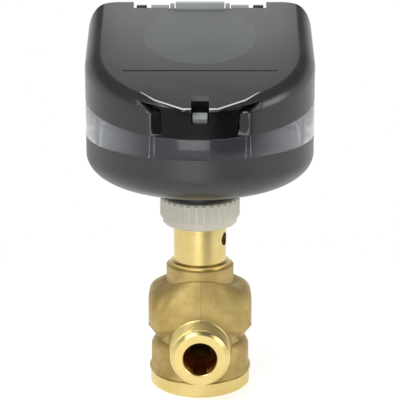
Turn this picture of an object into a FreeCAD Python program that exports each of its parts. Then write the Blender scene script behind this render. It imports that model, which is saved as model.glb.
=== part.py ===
import FreeCAD, Part
import math
import os
import re
import Sketcher
from FreeCAD import Placement, Rotation, Vector

# Electric valve actuator on its valve. +Z runs up the valve stem, the origin is the middle
# of the base cap's underside, and the front port faces -Y. Lengths are in millimetres.

doc = FreeCAD.newDocument("valve_actuator")
sheet = doc.addObject("Spreadsheet::Sheet", "Sizes")
levels = doc.addObject("App::FeaturePython", "Levels")
workings = doc.addObject("App::FeaturePython", "Workings")

# Driving sizes
SIZES = [
    ("base_radius", 22.4, "outer radius of the screwed base cap"),
    ("base_height", 7.05, "height of the base cap's rim"),
    ("plug_radius", 17.0, "radius of the base cap's screwed plug"),
    ("plug_height", 4.5, "how far the plug reaches into the cup"),
    ("cup_radius", 22.0, "radius of the body's lower cup"),
    ("cup_height", 10.5, "height of the cup's straight side"),
    ("bead_radius", 22.9, "radius of the bead at the cup's foot"),
    ("bead_height", 1.2, "height of that bead"),
    ("waist_radius", 18.9, "radius of the waist at the port"),
    ("waist_rise", 4.5, "height over which the cup draws in to the waist"),
    ("port_rise", 16.4, "port centre line above the base cap's rim"),
    ("port_reach", 35.0, "port face from the stem axis"),
    ("thread_radius", 13.22, "outer radius of the port's pipe thread"),
    ("thread_length", 12.8, "length of that thread"),
    ("port_chamfer", 2.0, "chamfer at the port's mouth"),
    ("port_collar", 13.9, "radius of the plain barrel behind the thread"),
    ("port_bore", 7.5, "radius of the port's bore"),
    ("port_depth", 20.0, "depth of the port's bore"),
    ("passage_radius", 4.6, "radius of the slanted passages to the seat"),
    ("bulge_half_width", 23.2, "half width of the shoulder across the ports"),
    ("bulge_half_depth", 21.5, "half depth of the shoulder along the ports"),
    ("bulge_bow", 32.0, "radius of the shoulder's bowed front"),
    ("bulge_corner", 4.5, "how far the shoulder's front corners round in"),
    ("bulge_rise", 23.6, "shoulder's top above the port centre line"),
    ("bulge_edge", 14.2, "shoulder's front edge above the port centre line"),
    ("bulge_tuck", 7.2, "height over which the shoulder's foot draws in"),
    ("crest_rise", 5.6, "crest in front of the neck above the shoulder's sides"),
    ("crest_half", 6.0, "half width of that crest"),
    ("neck_radius", 15.3, "radius of the cast neck"),
    ("neck_height", 9.9, "height of the neck above the shoulder"),
    ("neck_chamfer", 1.2, "chamfer at the neck's top"),
    ("chamber_radius", 9.2, "radius of the valve chambers"),
    ("seat_level", 3.0, "seat ring's foot above the port centre line"),
    ("seat_height", 3.0, "height of the seat ring"),
    ("seat_bore", 4.6, "radius of the seat ring's bore"),
    ("casting_floor", 3.0, "web left between the lower chamber and the seat"),
    ("bonnet_radius", 11.7, "outer radius of the bonnet's sleeve"),
    ("bonnet_length", 20.0, "bonnet between the neck and its threaded head"),
    ("bonnet_flange", 13.3, "radius of the flange on the neck"),
    ("flange_height", 1.8, "height of that flange"),
    ("bonnet_spigot", 10.6, "radius of the bonnet's screwed spigot"),
    ("spigot_length", 10.0, "length of that spigot in the neck"),
    ("head_radius", 14.9, "outer radius of the bonnet's threaded head"),
    ("head_height", 7.0, "height of the threaded head"),
    ("spring_room", 8.4, "radius of the bonnet's spring chamber"),
    ("chamber_floor", 3.0, "spring chamber's floor above the neck"),
    ("gland_height", 4.8, "height of the gland nut"),
    ("gland_depth", 2.0, "depth of the gland nut below the head's top"),
    ("window_radius", 3.0, "radius of the cross hole in the bonnet"),
    ("window_rise", 12.0, "cross hole's centre above the neck"),
    ("window_turn", 70.0, "degrees the cross hole is turned from the port"),
    ("stem_radius", 2.0, "radius of the valve stem"),
    ("stroke", 5.5, "travel of the valve stem"),
    ("disc_radius", 6.4, "radius of the closing disc"),
    ("disc_height", 3.2, "thickness of the closing disc"),
    ("running_gap", 0.05, "radial clearance of running fits"),
    ("part_gap", 0.3, "clearance between pieces that move apart"),
    ("spring_wire", 1.1, "diameter of the return spring's wire"),
    ("spring_turns", 4.0, "turns of the return spring"),
    ("spring_radius", 5.4, "mean radius of the return spring"),
    ("clip_height", 1.2, "thickness of the spring plate on the stem"),
    ("seal_wire", 1.6, "thickness of the sealing rings"),
    ("tenon_radius", 1.2, "radius of the stem's end in the closing disc"),
    ("chamfer", 0.8, "chamfer on turned edges"),
    ("nut_radius", 17.7, "radius over the coupling nut's ribs"),
    ("nut_ribs", 32, "number of grooves round the coupling nut"),
    ("groove_radius", 0.95, "radius of each groove"),
    ("nut_lip_radius", 16.5, "radius of the nut's plain lip"),
    ("nut_lip_height", 3.6, "height of the plain lip"),
    ("nut_skirt", 1.1, "nut's foot below the bonnet's head"),
    ("nut_flange", 1.6, "thickness of the nut's inner flange"),
    ("thread_gap", 0.1, "radial clearance of the nut on the head"),
    ("boss_radius", 14.0, "radius of the housing's coupling boss"),
    ("boss_lip", 1.9, "height of the boss's retaining lip"),
    ("boss_show", 7.5, "boss that shows between nut and housing"),
    ("boss_bore", 7.6, "radius of the bore through the boss"),
    ("plan_radius", 50.0, "radius of the housing's round front"),
    ("lobe_back", 41.5, "rear face of the housing's two corners"),
    ("lobe_corner", 13.0, "radius of those corners"),
    ("notch_back", 36.0, "rear face between the two corners"),
    ("notch_half", 30.0, "half width of the recess between them"),
    ("bowl_height", 13.2, "height of the bowl under the housing"),
    ("bowl_reach", 21.0, "how far the bowl draws in"),
    ("skirt_height", 8.4, "plain side above the bowl"),
    ("liner_radius", 43.0, "outer radius of the upright wall behind the clear band"),
    ("liner_back", 15.0, "rear end of that wall behind the stem axis"),
    ("wall", 2.2, "wall of the mouldings"),
    ("band_front", 8.8, "height of the clear band at the front"),
    ("band_slope", 9.0, "degrees the band's top edge rises rearwards"),
    ("band_wall", 1.8, "wall of the clear band"),
    ("cover_front", 22.2, "cover's front lip above the seam"),
    ("top_slope", 16.9, "degrees the cover's top rises rearwards"),
    ("top_round", 7.0, "rounding of the cover's top edge"),
    ("seam_gap", 0.15, "gap between the cover and the band"),
    ("recess_top", 16.5, "half width of the front recess at its top"),
    ("recess_foot", 14.7, "half width of the front recess at its foot"),
    ("recess_depth", 3.6, "depth of the front recess at its top"),
    ("facet_half", 20.5, "half width over the recess's slanted sides"),
    ("pocket_height", 2.6, "height of the pocket under the lip's ends"),
    ("pocket_depth", 2.0, "how far that pocket reaches in behind the lip"),
    ("glass_wall", 1.4, "thickness of the glossy panel in the recess"),
    ("visor_wall", 1.5, "thickness of the lip over the recess"),
    ("visor_middle", 7.4, "half width of the lip's straight middle"),
    ("visor_half", 24.9, "half width of the whole lip"),
    ("visor_bend", 18.9, "half width where the lip bends"),
    ("visor_bend_back", 7.0, "that bend's distance behind the front"),
    ("visor_back", 13.0, "lip's ends behind the front"),
    ("release_half", 3.7, "half width of the release slot in the lip"),
    ("release_drop", 7.0, "slot's sill below the front lip"),
    ("release_channel", 3.4, "tongue's channel behind the round front"),
    ("tongue_half", 3.0, "half width of the snap tongue"),
    ("tongue_wall", 1.4, "thickness of the snap tongue"),
    ("tongue_nose", 1.3, "how far the tongue's nose stands forward"),
    ("nose_height", 2.4, "height of that nose"),
    ("nose_drop", 3.0, "nose's top below the front lip"),
    ("line_half", 32.9, "half length of the groove across the cover"),
    ("line_place", 19.5, "groove's distance in front of the stem axis"),
    ("line_wide", 0.9, "width of that groove"),
    ("line_deep", 0.6, "depth of that groove"),
    ("pad_radius", 26.0, "radius of the shallow round pad on the cover"),
    ("pad_place", 11.0, "pad's centre behind the stem axis"),
    ("pad_deep", 0.25, "depth of that pad"),
    ("hinge_back", 38.6, "hinge axis behind the stem axis"),
    ("hinge_drop", 2.6, "hinge axis below the cover's top plane"),
    ("knuckle_radius", 2.7, "radius of the hinge knuckles"),
    ("pin_radius", 1.2, "radius of the hinge pin"),
    ("panel_wall", 2.0, "wall of the rear panel"),
    ("block_half", 11.0, "half width of the panel's middle block"),
    ("block_stand", 2.0, "block's top above the cover's rear edge"),
    ("entry_radius", 6.5, "radius of a cable entry"),
    ("entry_place", 13.0, "cable entry's distance from the middle"),
    ("entry_rise", 14.0, "cable entry's centre above the seam"),
    ("ear_near", 14.0, "panel's hinge ear, near side"),
    ("ear_far", 22.0, "panel's hinge ear, far side"),
    ("knuckle_near", 24.0, "cover's knuckle, near side"),
    ("knuckle_far", 28.6, "cover's knuckle, far side"),
    ("rib_place", 19.8, "band's front ribs from the middle"),
    ("rib_side", 42.5, "band's side ribs from the middle"),
    ("rib_radius", 1.3, "radius of the band's ribs"),
    ("slot_side", 42.0, "cooling slot in the bowl from the middle"),
    ("plate_radius", 37.0, "radius of the gearbox plates"),
    ("plate_back", 29.0, "flat rear edge of the gearbox plates"),
    ("plate_wall", 2.0, "thickness of the gearbox plates"),
    ("plate_rise", 3.2, "lower plate above the housing's floor"),
    ("plate_spacing", 16.0, "clear height between the plates"),
    ("post_radius", 2.6, "radius of the posts between the plates"),
    ("post_circle", 32.0, "radius of the circle through the posts"),
    ("drive_module", 1.0, "module of the drive wheel's teeth"),
    ("drive_teeth", 36, "teeth on the drive wheel"),
    ("small_teeth", 12, "teeth on each pinion"),
    ("motor_module", 0.8, "module of the idler wheel's teeth"),
    ("idler_teeth", 36, "teeth on the idler wheel"),
    ("drive_face", 5.0, "width of the drive wheel's rim"),
    ("drive_rise", 3.0, "drive wheel's rim above the lower plate"),
    ("idler_face", 3.0, "width of the idler wheel"),
    ("hub_radius", 8.2, "radius of the drive wheel's hub"),
    ("journal_radius", 7.2, "radius of the hub's journals"),
    ("spindle_radius", 5.0, "radius of the lifting spindle"),
    ("axle_radius", 1.5, "radius of the idler's axle"),
    ("idler_turn", 135.0, "degrees from +X round to the idler"),
    ("motor_turn", 261.0, "degrees from +X round from the idler to the motor"),
    ("motor_radius", 15.5, "radius of the motor's can"),
    ("motor_height", 15.0, "height of the motor's can"),
    ("shaft_radius", 1.0, "radius of the motor's shaft"),
    ("board_rise", 19.0, "circuit board above the upper plate"),
    ("board_wall", 1.6, "thickness of the circuit board"),
    ("board_half", 40.0, "half width of the circuit board"),
    ("board_tail", 27.0, "half width of the board's rear part"),
    ("board_front", 22.0, "board's front edge ahead of the stem axis"),
    ("board_step", 15.0, "where the board narrows"),
    ("board_back", 30.0, "board's rear edge"),
    ("terminals", 6, "number of cable terminals"),
    ("terminal_pitch", 5.0, "spacing of the cable terminals"),
    ("terminal_depth", 10.0, "depth of the terminal block"),
    ("terminal_height", 10.0, "height of the terminal block"),
]

for row, (alias, amount, meaning) in enumerate(SIZES, start=1):
    sheet.set(f"A{row}", meaning)
    sheet.set(f"B{row}", str(amount))
    sheet.setAlias(f"B{row}", alias)
doc.recompute()

# Levels up the stem axis, each stacked on the one below
LEVELS = [
    ("rim", "base_height"),
    ("port", "rim + port_rise"),
    ("seat_foot", "port + seat_level"),
    ("seat_top", "seat_foot + seat_height"),
    ("shoulder", "port + bulge_rise"),
    ("neck_top", "shoulder + neck_height"),
    ("head_foot", "neck_top + bonnet_length"),
    ("head_top", "head_foot + head_height"),
    ("boss_foot", "head_top + part_gap"),
    ("lip_top", "boss_foot + boss_lip"),
    ("nut_inside", "lip_top + part_gap"),
    ("nut_top", "nut_inside + nut_flange"),
    ("nut_foot", "head_foot - nut_skirt"),
    ("housing_foot", "nut_top + boss_show"),
    ("bowl_top", "housing_foot + bowl_height"),
    ("seam", "bowl_top + skirt_height"),
    ("floor", "housing_foot + wall"),
    ("plate_foot", "floor + plate_rise"),
    ("plate_top", "plate_foot + plate_wall"),
    ("deck", "plate_top + plate_spacing"),
    ("deck_top", "deck + plate_wall"),
    ("board", "deck_top + board_rise"),
    ("board_top", "board + board_wall"),
    ("lip_front", "seam + cover_front"),
    ("band_edge", "seam + band_front"),
    ("top_rise", "tan(top_slope)"),
    ("band_rise", "tan(band_slope)"),
    ("hinge_level", "lip_front + (hinge_back + plan_radius) * top_rise - hinge_drop"),
    ("rear_edge", "lip_front + (notch_back + plan_radius) * top_rise"),
    ("stem_foot", "seat_top + stroke + running_gap"),
    ("stem_top", "nut_top"),
    ("gland_foot", "head_top - gland_depth - gland_height"),
    ("clip_top", "gland_foot - part_gap"),
    ("clip_foot", "clip_top - clip_height"),
    ("chamber_foot", "neck_top + chamber_floor"),
    ("drive_foot", "plate_top + drive_rise"),
    ("drive_reach", "(drive_teeth + small_teeth) * drive_module / 2"),
    ("motor_reach", "(idler_teeth + small_teeth) * motor_module / 2"),
    ("idler_x", "drive_reach * cos(idler_turn)"),
    ("idler_y", "drive_reach * sin(idler_turn)"),
    ("motor_x", "idler_x + motor_reach * cos(motor_turn)"),
    ("motor_y", "idler_y + motor_reach * sin(motor_turn)"),
]

ALIASES = [alias for alias, amount, meaning in SIZES]
WORD = re.compile(r"[a-z_][a-z_]+")


def on_sheet(formula):
    """A formula in the words of the sheet, ready to bind to a property."""
    def place(word):
        name = word.group()
        if name in ALIASES:
            return "Sizes." + name
        return "Levels." + name if name in LEVEL_NAMES else name
    return WORD.sub(place, formula)


LEVEL_NAMES = []
for name, formula in LEVELS:
    levels.addProperty("App::PropertyFloat", name)
    levels.setExpression(name, on_sheet(formula))
    LEVEL_NAMES.append(name)
doc.recompute()


def number(formula):
    """What a formula comes to now, for starting points and for shapes made outright."""
    name = "work" + str(len(workings.PropertiesList))
    workings.addProperty("App::PropertyFloat", name)
    workings.setExpression(name, on_sheet(formula))
    workings.recompute()
    return getattr(workings, name)


def arc_between(start, finish, radius, leftward):
    """The short arc from start to finish, turning left or right on the way."""
    middle = (start + finish) / 2
    chord = finish - start
    across = Vector(-chord.y, chord.x, 0).normalize()
    rise = math.sqrt(max(radius ** 2 - (chord.Length / 2) ** 2, 0))
    centre = middle + across * (rise if leftward else -rise)
    first, last = (start, finish) if leftward else (finish, start)
    begin = math.atan2(first.y - centre.y, first.x - centre.x)
    end = math.atan2(last.y - centre.y, last.x - centre.x)
    circle = Part.Circle(centre, Vector(0, 0, 1), radius)
    return Part.ArcOfCircle(circle, begin, end)


def outline(body, role, corners, arcs=None, lift=None):
    """A closed sketch on an origin plane, its corners and arc radii bound to the sheet."""
    arcs = arcs or {}
    plane = next(item for item in body.Origin.OriginFeatures if item.Role == role)
    sketch = body.newObject("Sketcher::SketchObject", body.Name + "_outline")
    sketch.AttachmentSupport = (plane, [""])
    sketch.MapMode = "FlatFace"
    if lift:
        sketch.setExpression(".AttachmentOffset.Base.z", on_sheet(lift))
    points = [Vector(number(across), number(up), 0) for across, up in corners]
    ends = []
    for side, start in enumerate(points):
        finish = points[(side + 1) % len(points)]
        if side in arcs:
            radius, turn = arcs[side]
            leftward = turn == "left"
            sketch.addGeometry(arc_between(start, finish, number(radius), leftward))
            ends.append((1, 2) if leftward else (2, 1))
        else:
            sketch.addGeometry(Part.LineSegment(start, finish))
            ends.append((1, 2))
    for side in range(len(points)):
        after = (side + 1) % len(points)
        sketch.addConstraint(Sketcher.Constraint("Coincident", side, ends[side][1], after, ends[after][0]))
    for side, (across, up) in enumerate(corners):
        corner = ends[side][0]
        for axis, formula, kind, value in (
            (-2, across, "DistanceX", points[side].x),
            (-1, up, "DistanceY", points[side].y),
        ):
            if formula == "0":
                sketch.addConstraint(Sketcher.Constraint("PointOnObject", side, corner, axis))
            else:
                rule = sketch.addConstraint(Sketcher.Constraint(kind, -1, 1, side, corner, value))
                sketch.setExpression(f"Constraints[{rule}]", on_sheet(formula))
    for side, (radius, turn) in arcs.items():
        rule = sketch.addConstraint(Sketcher.Constraint("Radius", side, number(radius)))
        sketch.setExpression(f"Constraints[{rule}]", on_sheet(radius))
    return sketch


def turned(name, corners, arcs=None):
    """A turned piece: the half section, as radius and height, round the stem axis."""
    body = doc.addObject("PartDesign::Body", name)
    sketch = outline(body, "XZ_Plane", corners, arcs)
    turning = body.newObject("PartDesign::Revolution", name + "_turning")
    turning.Profile = sketch
    turning.ReferenceAxis = (sketch, ["V_Axis"])
    turning.Angle = 360
    return body


def padded(name, role, corners, length, arcs=None, lift=None, both_ways=False):
    """An outline on an origin plane, given thickness along the plane's normal."""
    body = doc.addObject("PartDesign::Body", name)
    sketch = outline(body, role, corners, arcs, lift)
    pad = body.newObject("PartDesign::Pad", name + "_pad")
    pad.Profile = sketch
    pad.setExpression("Length", on_sheet(length))
    if both_ways:
        pad.SideType = "Symmetric"
    return body


def rod(name, radius, low, high, across="0", back="0"):
    """An upright cylinder between two levels."""
    piece = doc.addObject("Part::Cylinder", name)
    piece.setExpression("Radius", on_sheet(radius))
    piece.setExpression("Height", on_sheet(f"({high}) - ({low})"))
    piece.setExpression(".Placement.Base.x", on_sheet(across))
    piece.setExpression(".Placement.Base.y", on_sheet(back))
    piece.setExpression(".Placement.Base.z", on_sheet(low))
    return piece


def bar(name, radius, start, length, turn):
    """A cylinder that starts at a point and runs along a turned axis."""
    piece = doc.addObject("Part::Cylinder", name)
    piece.Placement = Placement(Vector(), turn)
    piece.setExpression("Radius", on_sheet(radius))
    piece.setExpression("Height", on_sheet(length))
    for axis, formula in zip("xyz", start):
        piece.setExpression(".Placement.Base." + axis, on_sheet(formula))
    return piece


def block(name, low, high):
    """A box between two corners."""
    piece = doc.addObject("Part::Box", name)
    for side, axis, first, last in zip(("Length", "Width", "Height"), "xyz", low, high):
        piece.setExpression(side, on_sheet(f"({last}) - ({first})"))
        piece.setExpression(".Placement.Base." + axis, on_sheet(first))
    return piece


def cut(name, base, *tools):
    """What is left of a piece after tools are taken from it."""
    left = doc.addObject("Part::Cut", name)
    left.Base = base
    left.Tool = tools[0] if len(tools) == 1 else joined(name + "_tools", *tools)
    return left


def joined(name, *pieces):
    """Several pieces as one."""
    whole = doc.addObject("Part::MultiFuse", name)
    whole.Shapes = list(pieces)
    whole.Refine = True
    return whole


def shared(name, *pieces):
    """What several pieces have in common."""
    common = doc.addObject("Part::MultiCommon", name)
    common.Shapes = list(pieces)
    return common


def group(name, shapes):
    """Separate solids of one kind as one piece."""
    piece = doc.addObject("Part::Feature", name)
    piece.Shape = Part.makeCompound(shapes) if len(shapes) > 1 else shapes[0]
    return piece


NODES = []


def node(piece, name):
    """Give a finished piece the name it is stored under."""
    piece.Label = name
    NODES.append(piece)
    return piece


ALONG_Y = Rotation(Vector(1, 0, 0), -90)
ALONG_X = Rotation(Vector(0, 1, 0), 90)

# Base cap: a screwed ring with a plug that closes the cup from below
cap_blank = turned("cap_blank", [
    ("0", "0"),
    ("base_radius - bead_height", "0"),
    ("base_radius", "bead_height"),
    ("base_radius", "rim - bead_height / 2"),
    ("base_radius - bead_height / 2", "rim"),
    ("plug_radius", "rim"),
    ("plug_radius", "rim + plug_height"),
    ("0", "rim + plug_height"),
])
node(cap_blank, "base_cap")


def turned_along_y(name, corners):
    """A piece turned round the port's centre line: corners are distance along Y and radius."""
    body = doc.addObject("PartDesign::Body", name)
    sketch = outline(body, "YZ_Plane", corners)
    turning = body.newObject("PartDesign::Revolution", name + "_turning")
    turning.Profile = sketch
    turning.ReferenceAxis = (sketch, ["H_Axis"])
    turning.Angle = 360
    body.setExpression(".Placement.Base.z", on_sheet("port"))
    return body


# Sealing ring round the base cap's plug
cap_seal = turned("seal_ring", [
    ("plug_radius - seal_wire", "rim + plug_height"),
    ("plug_radius", "rim + plug_height"),
    ("plug_radius", "rim + plug_height + seal_wire"),
    ("plug_radius - seal_wire", "rim + plug_height + seal_wire"),
])
node(cap_seal, "cap_seal")

# Valve body: cast cup, waist, shoulder, neck and two threaded ports, bored from end to end
cup = turned("cup", [
    ("0", "rim"),
    ("cup_radius", "rim"),
    ("bead_radius", "rim + bead_height / 2"),
    ("bead_radius", "rim + bead_height"),
    ("cup_radius", "rim + bead_height * 2"),
    ("cup_radius", "rim + cup_height"),
    ("waist_radius", "rim + cup_height + waist_rise"),
    ("waist_radius", "port + bulge_tuck"),
    ("0", "port + bulge_tuck"),
], {5: ("waist_rise * 1.05", "left")})
# Level, half width and half depth of the shoulder's sections, from its foot to its crest
SHOULDER = (
    ("port", "waist_radius", "bulge_half_depth - bulge_tuck"),
    ("port + bulge_tuck", "bulge_half_width", "bulge_half_depth * 0.95"),
    ("port + bulge_edge", "bulge_half_width", "bulge_half_depth"),
    ("port + (bulge_edge * 0.43 + bulge_rise * 0.57)", "bulge_half_width * 0.95", "bulge_half_depth * 0.9"),
    ("shoulder - crest_rise / 7", "bulge_half_width * 0.8", "bulge_half_depth * 0.83"),
    ("shoulder + crest_rise / 5", "bulge_half_width * 0.58", "bulge_half_depth * 0.79"),
    ("shoulder + crest_rise", "crest_half", "neck_radius"),
)
shoulder_body = doc.addObject("PartDesign::Body", "shoulder_cast")
sections = []
for level, half, depth in SHOULDER:
    bow = f"(bulge_bow * ({half}) / bulge_half_width)"
    corner = f"(bulge_corner * ({half}) / bulge_half_width)"
    side = f"(({half}) - {corner})"
    back = f"({bow} - ({depth}) - sqrt({bow} ^ 2 - {side} ^ 2))"
    sections.append(outline(shoulder_body, "XY_Plane", [
        ("0", f"-({depth})"),
        (side, back),
        (half, f"{back} + {corner}"),
        (half, f"-{back} - {corner}"),
        (side, f"-{back}"),
        ("0", depth),
        (f"-{side}", f"-{back}"),
        (f"-({half})", f"-{back} - {corner}"),
        (f"-({half})", f"{back} + {corner}"),
        (f"-{side}", back),
    ], {
        0: (bow, "left"),
        1: (f"{corner} * 1.1", "left"),
        3: (f"{corner} * 1.1", "left"),
        4: (bow, "left"),
        5: (bow, "left"),
        6: (f"{corner} * 1.1", "left"),
        8: (f"{corner} * 1.1", "left"),
        9: (bow, "left"),
    }, level))
shoulder_cast = shoulder_body.newObject("PartDesign::AdditiveLoft", "shoulder_loft")
shoulder_cast.Profile = sections[0]
shoulder_cast.Sections = sections[1:]
shoulder_cast.Ruled = True
neck = turned("neck", [
    ("0", "port + bulge_tuck"),
    ("neck_radius", "port + bulge_tuck"),
    ("neck_radius", "neck_top - neck_chamfer"),
    ("neck_radius - neck_chamfer", "neck_top"),
    ("0", "neck_top"),
])
barrel = turned_along_y("barrel", [
    ("-port_reach", "0"),
    ("-port_reach", "thread_radius - port_chamfer"),
    ("port_chamfer - port_reach", "thread_radius"),
    ("thread_length - port_reach", "thread_radius"),
    ("thread_length - port_reach", "port_collar"),
    ("port_reach - thread_length", "port_collar"),
    ("port_reach - thread_length", "thread_radius"),
    ("port_reach - port_chamfer", "thread_radius"),
    ("port_reach", "thread_radius - port_chamfer"),
    ("port_reach", "0"),
])
casting = joined("casting", cup, shoulder_body, neck, barrel)
front_bore = turned_along_y("front_bore", [
    ("-port_reach - part_gap", "0"),
    ("-port_reach - part_gap", "port_bore"),
    ("port_depth - port_reach", "port_bore"),
    ("port_depth - port_reach + port_bore / 2", "0"),
])
rear_bore = turned_along_y("rear_bore", [
    ("port_reach + part_gap", "0"),
    ("port_reach + part_gap", "port_bore"),
    ("port_reach - port_depth", "port_bore"),
    ("port_reach - port_depth - port_bore / 2", "0"),
])
chambers = turned("chambers", [
    ("0", "rim"),
    ("plug_radius", "rim"),
    ("plug_radius", "rim + plug_height + seal_wire"),
    ("chamber_radius", "rim + plug_height + seal_wire"),
    ("chamber_radius", "seat_foot - casting_floor"),
    ("seat_bore", "seat_foot - casting_floor"),
    ("seat_bore", "seat_foot"),
    ("chamber_radius", "seat_foot"),
    ("chamber_radius", "neck_top - spigot_length"),
    ("bonnet_spigot", "neck_top - spigot_length"),
    ("bonnet_spigot", "neck_top"),
    ("0", "neck_top"),
])
inlet_slope = Vector(0, 12, -8)
outlet_slope = Vector(0, -12, 9)
inlet = bar(
    "inlet", "passage_radius", ("0", "port_depth - port_reach - 2", "port - 1"), "14",
    Rotation(Vector(0, 0, 1), inlet_slope),
)
outlet = bar(
    "outlet", "passage_radius", ("0", "port_reach - port_depth + 2", "port + 1"), "14",
    Rotation(Vector(0, 0, 1), outlet_slope),
)
valve_body = cut("bored_casting", casting, front_bore, rear_bore, chambers, inlet, outlet)
node(valve_body, "valve_body")

# Seat ring pressed into the web between the chambers
seat_ring = turned("seat", [
    ("seat_bore", "seat_foot"),
    ("chamber_radius", "seat_foot"),
    ("chamber_radius", "seat_top"),
    ("seat_bore + chamfer", "seat_top"),
    ("seat_bore", "seat_top - chamfer"),
])
node(seat_ring, "seat_ring")

# Bonnet: screwed spigot, flange, sleeve with a cross hole, and the threaded head
bonnet_blank = turned("bonnet_blank", [
    ("stem_radius + running_gap", "neck_top - spigot_length"),
    ("bonnet_spigot", "neck_top - spigot_length"),
    ("bonnet_spigot", "neck_top"),
    ("bonnet_flange", "neck_top"),
    ("bonnet_flange", "neck_top + flange_height - chamfer"),
    ("bonnet_radius", "neck_top + flange_height"),
    ("bonnet_radius", "head_foot"),
    ("head_radius - chamfer", "head_foot"),
    ("head_radius", "head_foot + chamfer"),
    ("head_radius", "head_top - chamfer"),
    ("head_radius - chamfer", "head_top"),
    ("spring_room", "head_top"),
    ("spring_room", "chamber_foot"),
    ("stem_radius + seal_wire", "chamber_foot"),
    ("stem_radius + seal_wire", "chamber_foot - seal_wire * 2"),
    ("stem_radius + running_gap", "chamber_foot - seal_wire * 2"),
])
window = doc.addObject("Part::Cylinder", "window")
window.setExpression("Radius", on_sheet("window_radius"))
window.setExpression("Height", on_sheet("bonnet_radius * 2 + part_gap * 2"))
window_way = Rotation(number("window_turn") - 90, 0, 0).multVec(Vector(1, 0, 0))
window.Placement = Placement(
    Vector(0, 0, number("neck_top + window_rise")) - window_way * number("bonnet_radius + part_gap"),
    Rotation(Vector(0, 0, 1), window_way),
)
bonnet = cut("bonnet_bored", bonnet_blank, window)
node(bonnet, "bonnet")

stem_seal = turned("stem_ring", [
    ("stem_radius + running_gap", "chamber_foot - seal_wire * 2"),
    ("stem_radius + seal_wire", "chamber_foot - seal_wire * 2"),
    ("stem_radius + seal_wire", "chamber_foot - seal_wire / 2"),
    ("stem_radius + running_gap", "chamber_foot - seal_wire / 2"),
])
node(stem_seal, "stem_seal")

gland_nut = turned("gland", [
    ("stem_radius + running_gap", "gland_foot"),
    ("spring_room", "gland_foot"),
    ("spring_room", "head_top - gland_depth"),
    ("stem_radius + running_gap + chamfer", "head_top - gland_depth"),
    ("stem_radius + running_gap", "head_top - gland_depth - chamfer"),
])
node(gland_nut, "gland_nut")

# Stem, closing disc, spring plate and return spring
valve_stem = turned("stem", [
    ("0", "stem_foot - chamfer"),
    ("tenon_radius", "stem_foot - chamfer"),
    ("tenon_radius", "stem_foot + disc_height"),
    ("stem_radius", "stem_foot + disc_height"),
    ("stem_radius", "stem_top - chamfer"),
    ("stem_radius - chamfer", "stem_top"),
    ("0", "stem_top"),
])
node(valve_stem, "valve_stem")
closing_disc = turned("disc", [
    ("tenon_radius", "stem_foot"),
    ("disc_radius - chamfer", "stem_foot"),
    ("disc_radius", "stem_foot + chamfer"),
    ("disc_radius", "stem_foot + disc_height"),
    ("tenon_radius", "stem_foot + disc_height"),
])
node(closing_disc, "closing_disc")
spring_plate = turned("plate_ring", [
    ("stem_radius", "clip_foot"),
    ("spring_radius + spring_wire", "clip_foot"),
    ("spring_radius + spring_wire", "clip_top"),
    ("stem_radius", "clip_top"),
])
node(spring_plate, "spring_plate")


def coil(radius, wire, foot, top, turns):
    """A round-wire coil: half turns as arcs that meet in line, from foot to top."""
    low = foot + wire / 2
    rise = (top - foot - wire) / (2 * turns)
    halves = []
    for half in range(int(round(2 * turns))):
        spots = []
        for part in (0, 0.5, 1):
            angle = math.pi * (half + part)
            height = low + rise * (half + part)
            spots.append(Vector(radius * math.cos(angle), radius * math.sin(angle), height))
        halves.append(Part.Arc(*spots).toShape())
    path = Part.Wire(halves)
    start = Part.Circle(Vector(radius, 0, low), Vector(0, 1, 0), wire / 2).toShape()
    return path.makePipeShell([Part.Wire([start])], True, False)


spring_gap = number("running_gap")
spring_shape = coil(
    number("spring_radius"), number("spring_wire"),
    number("chamber_foot") + spring_gap, number("clip_foot") - spring_gap, number("spring_turns"),
)
return_spring = group("spring", [spring_shape])
node(return_spring, "return_spring")
print("gap between the spring's turns",
      round((number("clip_foot - chamber_foot") - number("spring_wire")) / number("spring_turns")
            - number("spring_wire"), 2))

# Coupling nut: plain lip below, grooved ring above, inner flange that lifts on the boss
nut_body = turned("nut_body", [
    ("head_radius + thread_gap", "nut_foot"),
    ("nut_lip_radius - chamfer", "nut_foot"),
    ("nut_lip_radius", "nut_foot + chamfer"),
    ("nut_lip_radius", "nut_foot + nut_lip_height"),
    ("nut_radius", "nut_foot + nut_lip_height"),
    ("nut_radius", "nut_top - chamfer"),
    ("nut_radius - chamfer", "nut_top"),
    ("boss_radius + thread_gap", "nut_top"),
    ("boss_radius + thread_gap", "nut_inside"),
    ("head_radius + thread_gap", "nut_inside"),
])
doc.recompute()
plain_volume = nut_body.Shape.Volume
groove = nut_body.newObject("Sketcher::SketchObject", "groove")
groove.AttachmentSupport = (
    next(item for item in nut_body.Origin.OriginFeatures if item.Role == "XY_Plane"), [""])
groove.MapMode = "FlatFace"
groove.setExpression(".AttachmentOffset.Base.z", on_sheet("nut_top"))
groove.addGeometry(Part.Circle(
    Vector(number("nut_radius") + 0.3, 0, 0), Vector(0, 0, 1), number("groove_radius")))
groove.addConstraint(Sketcher.Constraint("PointOnObject", 0, 3, -1))
rule = groove.addConstraint(Sketcher.Constraint("DistanceX", -1, 1, 0, 3, number("nut_radius")))
groove.setExpression(f"Constraints[{rule}]", on_sheet("nut_radius + groove_radius * 0.3"))
rule = groove.addConstraint(Sketcher.Constraint("Radius", 0, number("groove_radius")))
groove.setExpression(f"Constraints[{rule}]", on_sheet("groove_radius"))
scallop = nut_body.newObject("PartDesign::Pocket", "scallop")
scallop.Profile = groove
scallop.setExpression("Length", on_sheet("nut_top - nut_foot - nut_lip_height"))
doc.recompute()
ribs = nut_body.newObject("PartDesign::PolarPattern", "ribs")
ribs.Originals = [scallop]
ribs.Axis = (groove, ["N_Axis"])
ribs.Angle = 360
ribs.setExpression("Occurrences", on_sheet("nut_ribs"))
nut_body.Tip = ribs
doc.recompute()
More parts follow.
